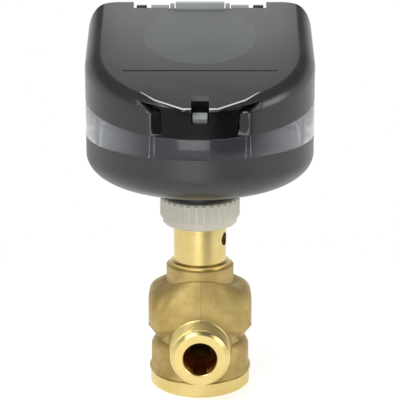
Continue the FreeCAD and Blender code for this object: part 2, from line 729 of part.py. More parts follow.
assert nut_body.Shape.Volume < plain_volume
node(nut_body, "coupling_nut")


def plan(inset, corner="lobe_corner", notched=False, rear="lobe_back"):
    """The housing's outline seen from above, drawn in by an inset: round front, cornered rear."""
    side = f"plan_radius - {inset}"
    right = [
        (side, "0"),
        (side, f"{rear} - {inset} - ({corner})"),
        (f"{side} - ({corner})", f"{rear} - {inset}"),
    ]
    if notched:
        right.append((f"notch_half + {inset}", f"{rear} - {inset}"))
        right.append((f"notch_half + {inset}", f"notch_back - {inset}"))
    left = [(f"-({across})", back) for across, back in reversed(right)]
    corners = [("0", f"-({side})")] + right + left
    last = len(corners) - 1
    arcs = {0: (side, "left"), 2: (corner, "left"), last: (side, "left"), last - 2: (corner, "left")}
    return corners, arcs


def bowl(name, inset, foot, height, steps, ruled):
    """The bowl under the housing: a loft through plans that widen along a quarter ellipse."""
    body = doc.addObject("PartDesign::Body", name)
    sections = []
    for step in range(steps + 1):
        angle = 90 * step / steps
        drawn = f"({inset} + bowl_reach * (1 - sin({angle})))"
        corner = f"(lobe_corner * (0.35 + 0.65 * sin({angle})) - {inset} * sin({angle}))"
        corners, arcs = plan(drawn, corner)
        level = f"{foot} + ({height}) * (1 - cos({angle}))"
        sections.append(outline(body, "XY_Plane", corners, arcs, level))
    loft = body.newObject("PartDesign::AdditiveLoft", name + "_loft")
    loft.Profile = sections[0]
    loft.Sections = sections[1:]
    loft.Ruled = ruled
    return body


def side_slab(name, foot, top, wide="plan_radius * 2"):
    """A slab across the housing whose foot and top are straight lines seen from the side."""
    front = "-plan_radius - wall"
    rear = "lobe_back + wall * 8"
    foot_level, foot_rise = foot
    top_level, top_rise = top
    return padded(name, "YZ_Plane", [
        (front, f"{foot_level} - wall * {foot_rise}"),
        (rear, f"{foot_level} + (plan_radius + lobe_back + wall * 8) * {foot_rise}"),
        (rear, f"{top_level} + (plan_radius + lobe_back + wall * 8) * {top_rise}"),
        (front, f"{top_level} - wall * {top_rise}"),
    ], wide, both_ways=True)


# Lower housing: bowl, plain skirt, coupling boss and pillars for the gearbox
outer_bowl = bowl("outer_bowl", "0", "housing_foot", "bowl_height", 4, False)
corners, arcs = plan("0")
outer_skirt = padded("outer_skirt", "XY_Plane", corners, "seam - bowl_top", arcs, "bowl_top")
inner_bowl = bowl("inner_bowl", "wall", "floor", "bowl_height - wall", 3, True)
corners, arcs = plan("wall", "(lobe_corner - wall)")
inner_skirt = padded("inner_skirt", "XY_Plane", corners, "seam - bowl_top + wall", arcs, "bowl_top")
rear_notch = block(
    "rear_notch",
    ("-notch_half", "notch_back", "housing_foot - wall"),
    ("notch_half", "lobe_back + wall", "seam + wall"),
)
notch_wall = block(
    "notch_wall",
    ("-notch_half - wall", "notch_back - wall", "housing_foot - wall"),
    ("notch_half + wall", "lobe_back + wall", "seam + wall * 2"),
)
bowl_outside = cut("bowl_outside", joined("bowl_whole", outer_bowl, outer_skirt), rear_notch)
bowl_inside = cut("bowl_inside", joined("bowl_room", inner_bowl, inner_skirt), notch_wall)
bowl_shell = cut("bowl_shell", bowl_outside, bowl_inside)
boss = turned("boss", [
    ("boss_bore", "boss_foot"),
    ("head_radius", "boss_foot"),
    ("head_radius", "lip_top"),
    ("boss_radius", "lip_top"),
    ("boss_radius", "floor"),
    ("boss_bore + wall", "floor"),
    ("boss_bore + wall", "plate_foot"),
    ("boss_bore", "plate_foot"),
])
POST_TURNS = (-45, 45, 235)
pillars = []
for turn in POST_TURNS:
    pillars.append(rod(
        f"pillar_{len(pillars)}", "post_radius + wall / 2", "housing_foot + wall / 2", "plate_foot",
        f"post_circle * cos({turn})", f"post_circle * sin({turn})",
    ))
tongue_seat = block(
    "tongue_seat",
    ("-tongue_half - wall", "wall / 2 - plan_radius", "seam - wall * 2"),
    ("tongue_half + wall", "release_channel + tongue_nose + tongue_wall + wall / 2 - plan_radius",
     "seam - part_gap"),
)
boss_hole = rod("boss_hole", "boss_bore", "boss_foot - wall", "plate_foot + wall")
liner_ring = turned("liner_ring", [
    ("liner_radius - wall * 0.7", "floor + wall"),
    ("liner_radius", "floor + wall"),
    ("liner_radius", "seam + cover_front"),
    ("liner_radius - wall * 0.7", "seam + cover_front"),
])
liner_slab = side_slab("liner_slab", ("housing_foot", "0"), ("band_edge - part_gap", "band_rise"))
liner_rear = block(
    "liner_rear",
    ("-plan_radius", "liner_back", "housing_foot"),
    ("plan_radius", "plan_radius", "seam + cover_front * 2"),
)
tongue_room = block(
    "tongue_room",
    ("-tongue_half - wall / 2", "-plan_radius", "seam - part_gap"),
    ("tongue_half + wall / 2", "-plan_radius / 2", "seam + cover_front * 2"),
)
liner = cut("liner", shared("liner_cut", liner_ring, liner_slab), liner_rear, tongue_room)
slots = []
for side in (-1, 1):
    edge = "slot_side" if side > 0 else "-slot_side"
    slots.append(block(
        f"bowl_slot_{len(slots)}",
        (f"{edge} - wall / 2", "-wall", "housing_foot + wall * 1.4"),
        (f"{edge} + wall / 2", "wall", "housing_foot + wall * 2.2"),
    ))
mark = block(
    "bowl_mark",
    ("-wall * 1.25", "-plan_radius - wall", "bowl_top - wall"),
    ("wall * 1.25", "wall / 3 - plan_radius", "bowl_top - wall / 4"),
)
housing = cut(
    "housing", joined("housing_whole", bowl_shell, boss, tongue_seat, liner, *pillars),
    boss_hole, mark, *slots,
)
node(housing, "lower_housing")

# Clear band: an open ring with a slanted top edge, ribs inside
corners, arcs = plan("0", notched=True)
band_outside = padded("band_outside", "XY_Plane", corners, "cover_front * 3", arcs, "seam")
corners, arcs = plan("band_wall", "(lobe_corner - band_wall)", notched=True)
band_room = padded("band_room", "XY_Plane", corners, "cover_front * 4", arcs, "seam - wall")
band_ring = cut("band_ring", band_outside, band_room)
ribs = []
for place in ("rib_place", "-rib_place", "rib_side", "-rib_side"):
    back = f"-sqrt((plan_radius - band_wall) ^ 2 - ({place}) ^ 2)"
    ribs.append(rod(f"band_rib_{len(ribs)}", "rib_radius", "seam", "seam + cover_front", place, back))
ribs_outside = shared("ribs_inside", joined("band_ribs", *ribs), band_outside)
band_slab = side_slab("band_slab", ("seam", "0"), ("band_edge", "band_rise"))
band_gap = block(
    "band_gap",
    ("-notch_half", "0", "seam - wall"),
    ("notch_half", "lobe_back + wall", "seam + cover_front * 3"),
)
band = cut(
    "band", shared("band_cut", joined("band_whole", band_ring, ribs_outside), band_slab), band_gap,
)
node(band, "clear_band")


def top_at(back):
    """Level of the cover's sloped top plane at a distance along Y."""
    return f"(lip_front + (({back}) + plan_radius) * top_rise)"


def rounded_wedge(name, inset, foot, top, rounding):
    """The cover's outer or inner form: its top edge is rounded, but not at the rear."""
    corner = "lobe_corner" if inset == "0" else f"(lobe_corner - {inset})"
    corners, arcs = plan(inset, corner, rear="(lobe_back + lobe_corner)")
    column = padded(name + "_plan", "XY_Plane", corners, "cover_front * 4", arcs, "seam - wall")
    slab = side_slab(name + "_slab", foot, top)
    wedge = shared(name + "_wedge", column, slab)
    doc.recompute()
    level = number(top[0])
    rise = number(top[1])
    plane_edges = []
    for index, edge in enumerate(wedge.Shape.Edges, start=1):
        spots = [vertex.Point for vertex in edge.Vertexes] + [edge.valueAt(
            (edge.FirstParameter + edge.LastParameter) / 2)]
        on_top = all(
            abs(spot.z - level - (spot.y + number("plan_radius")) * rise) < 0.01 for spot in spots)
        if on_top:
            plane_edges.append((index, number(rounding), number(rounding)))
    rounded = doc.addObject("Part::Fillet", name + "_rounded")
    rounded.Base = wedge
    rounded.Edges = plane_edges
    corners, arcs = plan(inset, corner)
    trim = padded(name + "_trim", "XY_Plane", corners, "cover_front * 4", arcs, "seam - wall")
    return shared(name, rounded, trim)


# Cover: a hollow wedge, hinged at the rear, with a recessed front under a thin lip
cover_foot = ("band_edge + seam_gap", "band_rise")
cover_outside = rounded_wedge("cover_outside", "0", cover_foot, ("lip_front", "top_rise"), "top_round")
cover_room = rounded_wedge(
    "cover_room", "wall", ("band_edge - wall * 4", "band_rise"),
    ("lip_front - wall * 1.05", "top_rise"), "top_round - wall",
)
cover_notch = block(
    "cover_notch",
    ("-notch_half", "notch_back", "seam"),
    ("notch_half", "lobe_back + wall", "hinge_level + wall * 4"),
)
cheeks = []
for side in (-1, 1):
    near, far = ("notch_half", "notch_half + wall") if side > 0 else ("-notch_half - wall", "-notch_half")
    cheeks.append(block(
        f"cheek_{len(cheeks)}", (near, "notch_back - wall", "seam"),
        (far, "lobe_back + wall", "hinge_level + wall * 4"),
    ))
cover_shell = cut(
    "cover_shell", cut("cover_form", cover_outside, cover_notch), cut("cover_hollow", cover_room, *cheeks))


def front_ring(name, inner_top, inner_foot, outer_top, outer_foot):
    """A ring round the stem axis, coned like the recess floor, from below the cover to its lip."""
    return turned(name, [
        (inner_foot, "band_edge - wall"),
        (outer_foot, "band_edge - wall"),
        (outer_foot, "band_edge"),
        (outer_top, "lip_front - visor_wall"),
        (inner_top, "lip_front - visor_wall"),
        (inner_foot, "band_edge"),
    ])


def front_window(name, extra):
    """A slab with the recess's tapered front view, wider by an extra on each side."""
    return padded(name, "XZ_Plane", [
        (f"-recess_foot - ({extra})", "band_edge - wall"),
        (f"recess_foot + ({extra})", "band_edge - wall"),
        (f"recess_top + ({extra})", "lip_front - visor_wall"),
        (f"-recess_top - ({extra})", "lip_front - visor_wall"),
    ], "plan_radius + wall")


floor_top = "plan_radius - recess_depth"
back_top = "plan_radius - recess_depth - glass_wall"
backing_ring = turned("backing_ring", [
    (back_top + " - wall / 2", "band_edge - wall"),
    ("plan_radius", "band_edge - wall"),
    ("plan_radius", "lip_front + wall * 3"),
    (back_top + " - wall", "lip_front + wall * 3"),
    (back_top + " - wall", "lip_front - visor_wall"),
    (back_top + " - wall / 2", "band_edge"),
])
backing_view = block(
    "backing_view",
    ("-visor_half - wall", "-plan_radius", "band_edge - wall"),
    ("visor_half + wall", "-plan_radius / 2", "lip_front + wall * 3"),
)
backing = shared("backing", backing_ring, backing_view, cover_outside)
recess_ring = front_ring(
    "recess_ring", back_top, "plan_radius - glass_wall", "plan_radius + wall", "plan_radius + wall")
recess = shared("recess", recess_ring, front_window("recess_view", "0"))
facet_body = doc.addObject("PartDesign::Body", "recess_sides")
sections = []
for half, level, floor_radius in (
    ("recess_foot", "band_edge - wall", "plan_radius - glass_wall * 2"),
    ("recess_top", "lip_front - visor_wall", floor_top),
):
    floor_back = f"-sqrt(({floor_radius}) ^ 2 - {half} ^ 2)"
    face_back = "-sqrt(plan_radius ^ 2 - facet_half ^ 2)"
    sections.append(outline(facet_body, "XY_Plane", [
        (f"-{half}", floor_back),
        ("-facet_half", face_back),
        ("-facet_half", "-plan_radius - wall"),
        ("facet_half", "-plan_radius - wall"),
        ("facet_half", face_back),
        (half, floor_back),
    ], lift=level))
facet_loft = facet_body.newObject("PartDesign::AdditiveLoft", "recess_sides_loft")
facet_loft.Profile = sections[0]
facet_loft.Sections = sections[1:]
facet_loft.Ruled = True
pockets = []
for side in ("", "-"):
    corners = [
        (f"{side}recess_foot", "visor_back / 3 + pocket_depth - plan_radius"),
        (f"{side}visor_bend", "visor_bend_back + pocket_depth - plan_radius"),
        (f"{side}visor_half", "visor_back + pocket_depth - plan_radius"),
        (f"{side}visor_half", "-plan_radius - wall"),
        (f"{side}recess_foot", "-plan_radius - wall"),
    ]
    name = f"pocket_plan_{len(pockets)}"
    pockets.append(padded(name, "XY_Plane", corners, "cover_front * 3", lift="seam"))
pocket = shared("pocket", joined("pocket_plans", *pockets), side_slab(
    "pocket_slab", ("lip_front - visor_wall - pocket_height", "top_rise"),
    ("lip_front - visor_wall", "top_rise")))
visor_plan = padded("visor_plan", "XY_Plane", [
    ("-visor_middle", "-plan_radius"),
    ("visor_middle", "-plan_radius"),
    ("visor_bend", "visor_bend_back - plan_radius"),
    ("visor_half", "visor_back - plan_radius"),
    ("visor_middle", "visor_back * 1.5 - plan_radius"),
    ("-visor_middle", "visor_back * 1.5 - plan_radius"),
    ("-visor_half", "visor_back - plan_radius"),
    ("-visor_bend", "visor_bend_back - plan_radius"),
], "cover_front * 3", lift="seam")
visor = shared("visor", visor_plan, side_slab(
    "visor_slab", ("lip_front - visor_wall", "top_rise"), ("lip_front", "top_rise")))
release_slot = block(
    "release_slot",
    ("-release_half", "-plan_radius - wall", "lip_front - release_drop"),
    ("release_half", "release_channel * 3 - plan_radius", "lip_front + wall * 2"),
)
channel = block(
    "channel",
    ("-release_half", "release_channel - plan_radius", "band_edge - wall"),
    ("release_half", "release_channel * 4 - plan_radius", "lip_front - release_drop + wall"),
)
line = block(
    "line",
    ("-line_half", "-line_place - line_wide / 2", top_at("-line_place") + " - line_deep"),
    ("line_half", "line_wide / 2 - line_place", top_at("-line_place") + " + wall"),
)
slope = number("top_slope")
tilt = Rotation(Vector(1, 0, 0), slope)
pad_tool = doc.addObject("Part::Cylinder", "pad_tool")
pad_tool.Placement = Placement(Vector(), tilt)
pad_tool.setExpression("Radius", on_sheet("pad_radius"))
pad_tool.setExpression("Height", on_sheet("wall * 2"))
pad_tool.setExpression(".Placement.Base.y", on_sheet("pad_place"))
pad_tool.setExpression(".Placement.Base.z", on_sheet(top_at("pad_place") + " - pad_deep"))
ear_room = bar(
    "ear_room", "knuckle_radius + part_gap * 1.5",
    ("-(ear_far + knuckle_near) / 2 - part_gap", "hinge_back", "hinge_level"),
    "ear_far + knuckle_near + part_gap * 2", ALONG_X,
)
block_front = "(hinge_back - notch_back - part_gap)"
block_room = bar(
    "block_room", f"sqrt({block_front} ^ 2 + (rear_edge + block_stand - hinge_level) ^ 2) + part_gap",
    ("-ear_near - part_gap", "hinge_back", "hinge_level"), "ear_near * 2 + part_gap * 2", ALONG_X,
)
knuckles = []
for side in ("", "-"):
    near, far = ("knuckle_near", "knuckle_far") if not side else ("-knuckle_far", "-knuckle_near")
    knuckles.append(bar(
        f"knuckle_{len(knuckles)}", "knuckle_radius", (near, "hinge_back", "hinge_level"),
        "knuckle_far - knuckle_near", ALONG_X,
    ))
    knuckles.append(block(
        f"knuckle_web_{len(knuckles)}",
        (near, "notch_back - wall", "hinge_level - wall"),
        (far, "hinge_back", top_at("notch_back - wall")),
    ))
knuckle_hole = bar(
    "knuckle_hole", "pin_radius + running_gap", ("-plan_radius", "hinge_back", "hinge_level"),
    "plan_radius * 2", ALONG_X,
)
knuckle_set = cut("knuckle_set", joined("knuckles", *knuckles), knuckle_hole)
cover_blank = cut(
    "cover_blank", joined("cover_whole", cover_shell, backing), recess, facet_body, pocket, ear_room,
    block_room,
)
cover = cut(
    "cover_done", joined("cover_lipped", cover_blank, visor, knuckle_set),
    release_slot, channel, line, pad_tool,
)
node(cover, "cover")

# Glossy panel that lines the front recess
glass_ring = front_ring(
    "glass_ring", back_top, "plan_radius - glass_wall", floor_top, "plan_radius")
glass_slab = side_slab("glass_slab", cover_foot, ("lip_front - visor_wall", "0"))
glass = cut(
    "glass", shared("glass_whole", glass_ring, front_window("glass_view", "-running_gap"), glass_slab),
    release_slot, channel,
)
node(glass, "front_panel")

# Snap tongue that stands inside the front and shows in the release slot
tongue_face = "release_channel + tongue_nose - plan_radius + part_gap"
tongue = padded("tongue", "YZ_Plane", [
    (tongue_face, "seam"),
    (tongue_face + " + tongue_wall", "seam"),
    (tongue_face + " + tongue_wall", "lip_front - nose_drop - chamfer"),
    (tongue_face + " + tongue_wall - chamfer", "lip_front - nose_drop"),
    (tongue_face, "lip_front - nose_drop"),
    (tongue_face + " - tongue_nose", "lip_front - nose_drop - chamfer"),
    (tongue_face + " - tongue_nose", "lip_front - nose_drop - nose_height"),
    (tongue_face, "lip_front - nose_drop - nose_height"),
], "tongue_half * 2", both_ways=True)
node(tongue, "latch_tongue")

# Rear panel: closes the recess between the corners and carries the hinge ears and cable entries
panel_top = "hinge_level - knuckle_radius - wall / 3"
rear_plate = block(
    "rear_plate",
    ("part_gap - notch_half", "notch_back - panel_wall", "seam"),
    ("notch_half - part_gap", "notch_back", panel_top),
)
ears = []
for near, far in (("ear_near", "ear_far"), ("-ear_far", "-ear_near")):
    ears.append(bar(
        f"ear_{len(ears)}", "knuckle_radius", (near, "hinge_back", "hinge_level"),
        "ear_far - ear_near", ALONG_X,
    ))
    ears.append(block(
        f"ear_web_{len(ears)}",
        (near, "notch_back + part_gap", "hinge_level - knuckle_radius * 4"),
        (far, "hinge_back + knuckle_radius * 0.8", "hinge_level"),
    ))
middle_block = block(
    "middle_block",
    ("-block_half", "notch_back + part_gap", "hinge_level - knuckle_radius * 4"),
    ("block_half", "hinge_back + knuckle_radius * 0.8", "rear_edge + block_stand"),
)
tabs = []
for near, far in (("block_half", "ear_near"), ("-ear_near", "-block_half")):
    tabs.append(block(
        f"tab_{len(tabs)}",
        (f"{near} + wall / 4", "notch_back + wall / 3", "hinge_level - knuckle_radius * 4"),
        (f"{far} - wall / 4", "hinge_back + knuckle_radius / 2", "rear_edge + block_stand * 0.7"),
    ))
ear_foot = block(
    "ear_foot",
    ("-ear_far", "notch_back - panel_wall / 2", "hinge_level - knuckle_radius * 4.5"),
    ("ear_far", "hinge_back", f"{panel_top} - part_gap"),
)
entry_holes = []
for side in ("entry_place", "-entry_place"):
    entry_holes.append(bar(
        f"entry_{len(entry_holes)}", "entry_radius",
        (side, "notch_back - panel_wall * 2", "seam + entry_rise"), "panel_wall * 3", ALONG_Y,
    ))
pin_hole = bar(
    "pin_hole", "pin_radius", ("-ear_far - wall", "hinge_back", "hinge_level"),
    "ear_far * 2 + wall * 2", ALONG_X,
)
rear_panel = cut(
    "rear_panel_done", joined("rear_panel_whole", rear_plate, middle_block, ear_foot, *ears, *tabs),
    pin_hole, *entry_holes,
)
node(rear_panel, "rear_panel")
hinge_pin = bar(
    "pin", "pin_radius", ("-knuckle_far", "hinge_back", "hinge_level"), "knuckle_far * 2", ALONG_X)
node(hinge_pin, "hinge_pin")

# Closed rubber grommets in the two cable entries
grommets = []
for side in (-1, 1):
    bore = number("entry_radius")
    thick = number("panel_wall")
    centre = Vector(side * number("entry_place"), number("notch_back") - thick, number("seam + entry_rise"))
    facing = Vector(0, 1, 0)
    body = Part.makeCylinder(bore, thick, centre, facing)
    flange = Part.makeCylinder(bore + thick * 0.75, thick * 0.6, centre + facing * thick, facing)
    stub = Part.makeCone(
        bore * 0.8, bore * 0.45, thick * 2, centre + facing * thick * 1.6, facing)
    hollow = Part.makeCone(
        bore * 0.8, bore * 0.3, thick * 2.8, centre - facing * 0.01, facing)
    grommets.append(body.fuse([flange, stub]).cut(hollow).removeSplitter())
node(group("grommets", grommets), "cable_grommets")


def toothed_face(module, teeth, turn):
    """The section of a spur gear with a tooth centred on a direction, flanks as arcs."""
    pressure = math.radians(25)
    pitch = module * teeth / 2
    base = pitch * math.cos(pressure)
    tip = pitch + 0.85 * module
    root = pitch - 1.1 * module
    backlash = 0.06 * module
    half_tooth = (math.pi * module / 2 - backlash) / (2 * pitch)

    def unwound(radius):
        """Half the tooth's angle at a radius, along the involute."""
        lean = math.acos(min(base / radius, 1))
        return half_tooth + math.tan(pressure) - pressure - (math.tan(lean) - lean)

    def spot(radius, angle):
        return Vector(radius * math.cos(angle), radius * math.sin(angle), 0)

    foot = max(root, base)
    middle = (foot + tip) / 2
    edges = []
    step = 2 * math.pi / teeth
    for tooth in range(teeth):
        centre = math.radians(turn) + tooth * step
        rising = [spot(r, centre - unwound(r)) for r in (foot, middle, tip)]
        falling = [spot(r, centre + unwound(r)) for r in (tip, middle, foot)]
        next_root = centre + step - unwound(foot)
        if root < foot:
            edges.append(Part.makeLine(spot(root, centre - unwound(foot)), rising[0]))
        edges.append(Part.Arc(*rising).toShape())
        edges.append(Part.Arc(rising[-1], spot(tip, centre), falling[0]).toShape())
        edges.append(Part.Arc(*falling).toShape())
        if root < foot:
            edges.append(Part.makeLine(falling[-1], spot(root, centre + unwound(foot))))
        edges.append(Part.Arc(
            spot(root, centre + unwound(foot)), spot(root, centre + step / 2), spot(root, next_root),
        ).toShape())
    return Part.Face(Part.Wire(edges))


def gear(module, teeth, turn, foot, height, across=0.0, back=0.0):
    """A spur gear standing on a level."""
    face = toothed_face(module, teeth, turn)
    face.translate(Vector(across, back, foot))
    return face.extrude(Vector(0, 0, height))


# Gearbox plates, posts and the bush that guides the spindle
plate_edge = block(
    "plate_edge",
    ("-plate_radius", "-plate_radius", "floor"),
    ("plate_radius", "plate_back", "deck_top + wall"),
)
lower_disc = shared("lower_disc", rod("lower_round", "plate_radius", "plate_foot", "plate_top"), plate_edge)
upper_disc = shared("upper_disc", rod("upper_round", "plate_radius", "deck", "deck_top"), plate_edge)
journal_hole = rod("journal_hole", "journal_radius + running_gap", "floor", "deck_top + wall")
axle_hole = rod("axle_hole", "axle_radius", "floor", "deck_top + wall", "idler_x", "idler_y")
shaft_hole = rod(
    "shaft_hole", "shaft_radius + part_gap", "deck - wall", "deck_top + wall", "motor_x", "motor_y")
lower_plate = cut("lower_bored", lower_disc, journal_hole, axle_hole)
node(lower_plate, "lower_plate")
upper_plate = cut("upper_bored", upper_disc, journal_hole, axle_hole, shaft_hole)
node(upper_plate, "upper_plate")
posts = []
for turn in POST_TURNS:
    x = number("post_circle") * math.cos(math.radians(turn))
    y = number("post_circle") * math.sin(math.radians(turn))
    posts.append(Part.makeCylinder(
        number("post_radius"), number("plate_spacing"), Vector(x, y, number("plate_top"))))
node(group("posts", posts), "plate_posts")
screws = []
for turn in POST_TURNS:
    x = number("post_circle") * math.cos(math.radians(turn))
    y = number("post_circle") * math.sin(math.radians(turn))
    head = Part.makeCylinder(number("post_radius"), number("wall") * 0.8, Vector(x, y, number("deck_top")))
    slot = Part.makeBox(number("post_radius") * 2, 0.6, 1, Vector(x - number("post_radius"), y - 0.3,
                        number("deck_top + wall * 0.8") - 0.6))
    screws.append(head.cut(slot))
node(group("deck_screws", screws), "plate_screws")
guide_tube = rod("guide_tube", "boss_bore", "boss_foot", "plate_foot")
spindle_room = shared(
    "spindle_room", rod("spindle_bore", "spindle_radius + running_gap", "boss_foot", "plate_foot"),
    block("spindle_flats", ("-spindle_radius", "-spindle_radius * 0.8 - running_gap", "boss_foot"),
          ("spindle_radius", "spindle_radius * 0.8 + running_gap", "plate_foot")),
)
guide_bush = cut("guide_bored", guide_tube, spindle_room)
node(guide_bush, "guide_bush")

# Lifting spindle: flats that keep it from turning, a round threaded length above them
flats_top = "plate_foot + stroke + part_gap"
spindle_foot = "stem_top + running_gap"
spindle_low = shared(
    "spindle_low", rod("spindle_rod", "spindle_radius", spindle_foot, flats_top),
    block("spindle_sides", ("-spindle_radius", "-spindle_radius * 0.8", spindle_foot),
          ("spindle_radius", "spindle_radius * 0.8", flats_top)),
)
spindle = joined(
    "spindle_whole", spindle_low, rod("spindle_top", "spindle_radius", flats_top, "deck - part_gap"))
node(spindle, "spindle")

# Gear train: drive wheel round the spindle, idler on its axle, pinion on the motor's shaft
running = number("running_gap")
plate_foot, plate_top = number("plate_foot"), number("plate_top")
deck, deck_top = number("deck"), number("deck_top")
drive_foot = number("drive_foot")
idler_x, idler_y = number("idler_x"), number("idler_y")
motor_x, motor_y = number("motor_x"), number("motor_y")
small_teeth = int(number("small_teeth"))
idler_turn, motor_turn = number("idler_turn"), number("motor_turn")
half_space = 180 / small_teeth
bore = number("spindle_radius") + running
drive_solid = gear(
    number("drive_module"), int(number("drive_teeth")), idler_turn, drive_foot, number("drive_face"))
hub_foot, hub_length = plate_top + 2 * running, deck - plate_top - 4 * running
journal_foot, journal_length = plate_foot + 2 * running, deck_top - plate_foot - 4 * running
drive_solid = drive_solid.fuse([
    Part.makeCylinder(number("hub_radius"), hub_length, Vector(0, 0, hub_foot)),
    Part.makeCylinder(number("journal_radius"), journal_length, Vector(0, 0, journal_foot)),
]).cut(Part.makeCylinder(bore, deck_top, Vector(0, 0, 0)))
node(group("drive", [drive_solid.removeSplitter()]), "drive_wheel")
wheel_foot = drive_foot + number("drive_face") + number("drive_rise") - number("chamfer")
pinion_foot = drive_foot - number("chamfer")
idler_hub = number("axle_radius") * 2.4
idler_solid = gear(
    number("drive_module"), small_teeth, idler_turn + 180 + half_space, pinion_foot,
    wheel_foot - pinion_foot, idler_x, idler_y,
).fuse([
    gear(number("motor_module"), int(number("idler_teeth")), motor_turn, wheel_foot,
         number("idler_face"), idler_x, idler_y),
    Part.makeCylinder(idler_hub, hub_length, Vector(idler_x, idler_y, hub_foot)),
]).cut(Part.makeCylinder(number("axle_radius") + running, deck_top, Vector(idler_x, idler_y, 0)))
node(group("idler", [idler_solid.removeSplitter()]), "idler_gear")
idler_axle = rod("axle", "axle_radius", "plate_foot", "deck_top", "idler_x", "idler_y")
node(idler_axle, "idler_axle")
motor_can = turned("motor_can", [
    ("shaft_radius + running_gap", "deck_top"),
    ("motor_radius - chamfer", "deck_top"),
    ("motor_radius", "deck_top + chamfer"),
    ("motor_radius", "deck_top + motor_height - chamfer"),
    ("motor_radius - chamfer", "deck_top + motor_height"),
    ("0", "deck_top + motor_height"),
    ("0", "deck_top + motor_height / 3"),
    ("shaft_radius + running_gap", "deck_top + motor_height / 3"),
])
motor_can.setExpression(".Placement.Base.x", on_sheet("motor_x"))
motor_can.setExpression(".Placement.Base.y", on_sheet("motor_y"))
node(motor_can, "motor")
motor_shaft = rod(
    "shaft", "shaft_radius", "deck - drive_face - chamfer", "deck_top + motor_height / 3 - part_gap",
    "motor_x", "motor_y",
)
node(motor_shaft, "motor_shaft")
motor_pinion = gear(
    number("motor_module"), small_teeth, motor_turn + 180 + half_space, wheel_foot - number("chamfer") / 2,
    number("idler_face") + number("chamfer"), motor_x, motor_y,
).cut(Part.makeCylinder(number("shaft_radius"), deck_top, Vector(motor_x, motor_y, 0)))
node(group("pinion", [motor_pinion]), "motor_pinion")

# Circuit board on its posts, with the cable terminals at the rear
board = padded("board_blank", "XY_Plane", [
    ("-board_half", "-board_front"),
    ("board_half", "-board_front"),
    ("board_half", "board_step"),
    ("board_tail", "board_step"),
    ("board_tail", "board_back"),
    ("-board_tail", "board_back"),
    ("-board_tail", "board_step"),
    ("-board_half", "board_step"),
], "board_wall", lift="board")
node(board, "circuit_board")
BOARD_POSTS = ((-28, -19), (28, -19), (-22, 22), (31, 10))
board_posts = []
board_screws = []
for x, y in BOARD_POSTS:
    board_posts.append(Part.makeCylinder(
        number("post_radius"), number("board_rise"), Vector(x, y, deck_top)))
    board_screws.append(Part.makeCylinder(
        number("post_radius"), number("wall") * 0.7, Vector(x, y, number("board_top"))))
node(group("board_pillars", board_posts), "board_posts")
node(group("board_fixings", board_screws), "board_screws")
pitch = number("terminal_pitch")
terminals = int(number("terminals"))
depth = number("terminal_depth")
height = number("terminal_height")
board_top = number("board_top")
rear = number("board_back") - number("wall")
first = -pitch * (terminals - 1) / 2
terminal_solid = Part.makeBox(
    pitch * terminals, depth, height, Vector(first - pitch / 2, rear - depth, board_top))
terminal_solid = terminal_solid.cut(Part.makeBox(
    pitch * terminals, depth * 0.35, height * 0.3,
    Vector(first - pitch / 2, rear - depth, board_top + height * 0.7)))
clamp_screws = []
for terminal in range(terminals):
    x = first + terminal * pitch
    mouth = Part.makeBox(pitch * 0.7, depth * 0.6, height * 0.35,
                         Vector(x - pitch * 0.35, rear - depth * 0.6, board_top + height * 0.12))
    well = Part.makeCylinder(
        pitch * 0.36, height * 0.35, Vector(x, rear - depth * 0.32, board_top + height * 0.65))
    terminal_solid = terminal_solid.cut([mouth, well])
    screw = Part.makeCylinder(
        pitch * 0.34, height * 0.2, Vector(x, rear - depth * 0.32, board_top + height * 0.65))
    slot = Part.makeBox(
        pitch, 0.6, 0.6, Vector(x - pitch / 2, rear - depth * 0.32 - 0.3, board_top + height * 0.85 - 0.6))
    clamp_screws.append(screw.cut(slot))
node(group("terminal_form", [terminal_solid]), "terminal_block")
node(group("clamps", clamp_screws), "terminal_screws")

# Setting switches and the relay on the board
switch_low = Vector(-34, -14, board_top)
ways = 4
way_pitch = 3.2
switch_throw = 1.6
switch_body = Part.makeBox(ways * way_pitch + 2.2, 6, 3.2, switch_low)
for way in range(ways):
    slot_low = switch_low + Vector(1.6 + way * way_pitch, 1.2, 2.2)
    switch_body = switch_body.cut(Part.makeBox(1.8, 3.6, 1.2, slot_low))
    shift = 0.2 if way % 2 else 0.2 + switch_throw
    slider = Part.makeBox(1.4, 1.5, 1.6, slot_low + Vector(0.2, shift, running))
    node(group(f"slider_{way + 1}", [slider]), f"switch_slider_{way + 1}")
node(group("switch_base", [switch_body]), "setting_switches")
relay = Part.makeBox(19, 10, 5.2, Vector(10, -4, board_top))
relay = relay.makeFillet(0.6, [edge for edge in relay.Edges if edge.BoundBox.ZMin > board_top + 4])
node(group("relay_case", [relay]), "relay")

doc.recompute()
broken = []
for item in doc.Objects:
    if any(state in ("Invalid", "Error") for state in item.State):
        broken.append(item.Name)
for piece in NODES:
    if piece.Shape.isNull() or not piece.Shape.isValid() or not piece.Shape.Solids:
        broken.append(piece.Label)
if broken:
    raise RuntimeError("these are not sound: " + ", ".join(broken))
os.makedirs("parts", exist_ok=True)
for piece in NODES:
    piece.Shape.exportStep(f"parts/{piece.Label}.step")
print(len(NODES), "pieces written")
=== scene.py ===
from math import atan, cos, degrees, pi, radians, sin

import bmesh
import bpy
from mathutils import Matrix, Vector


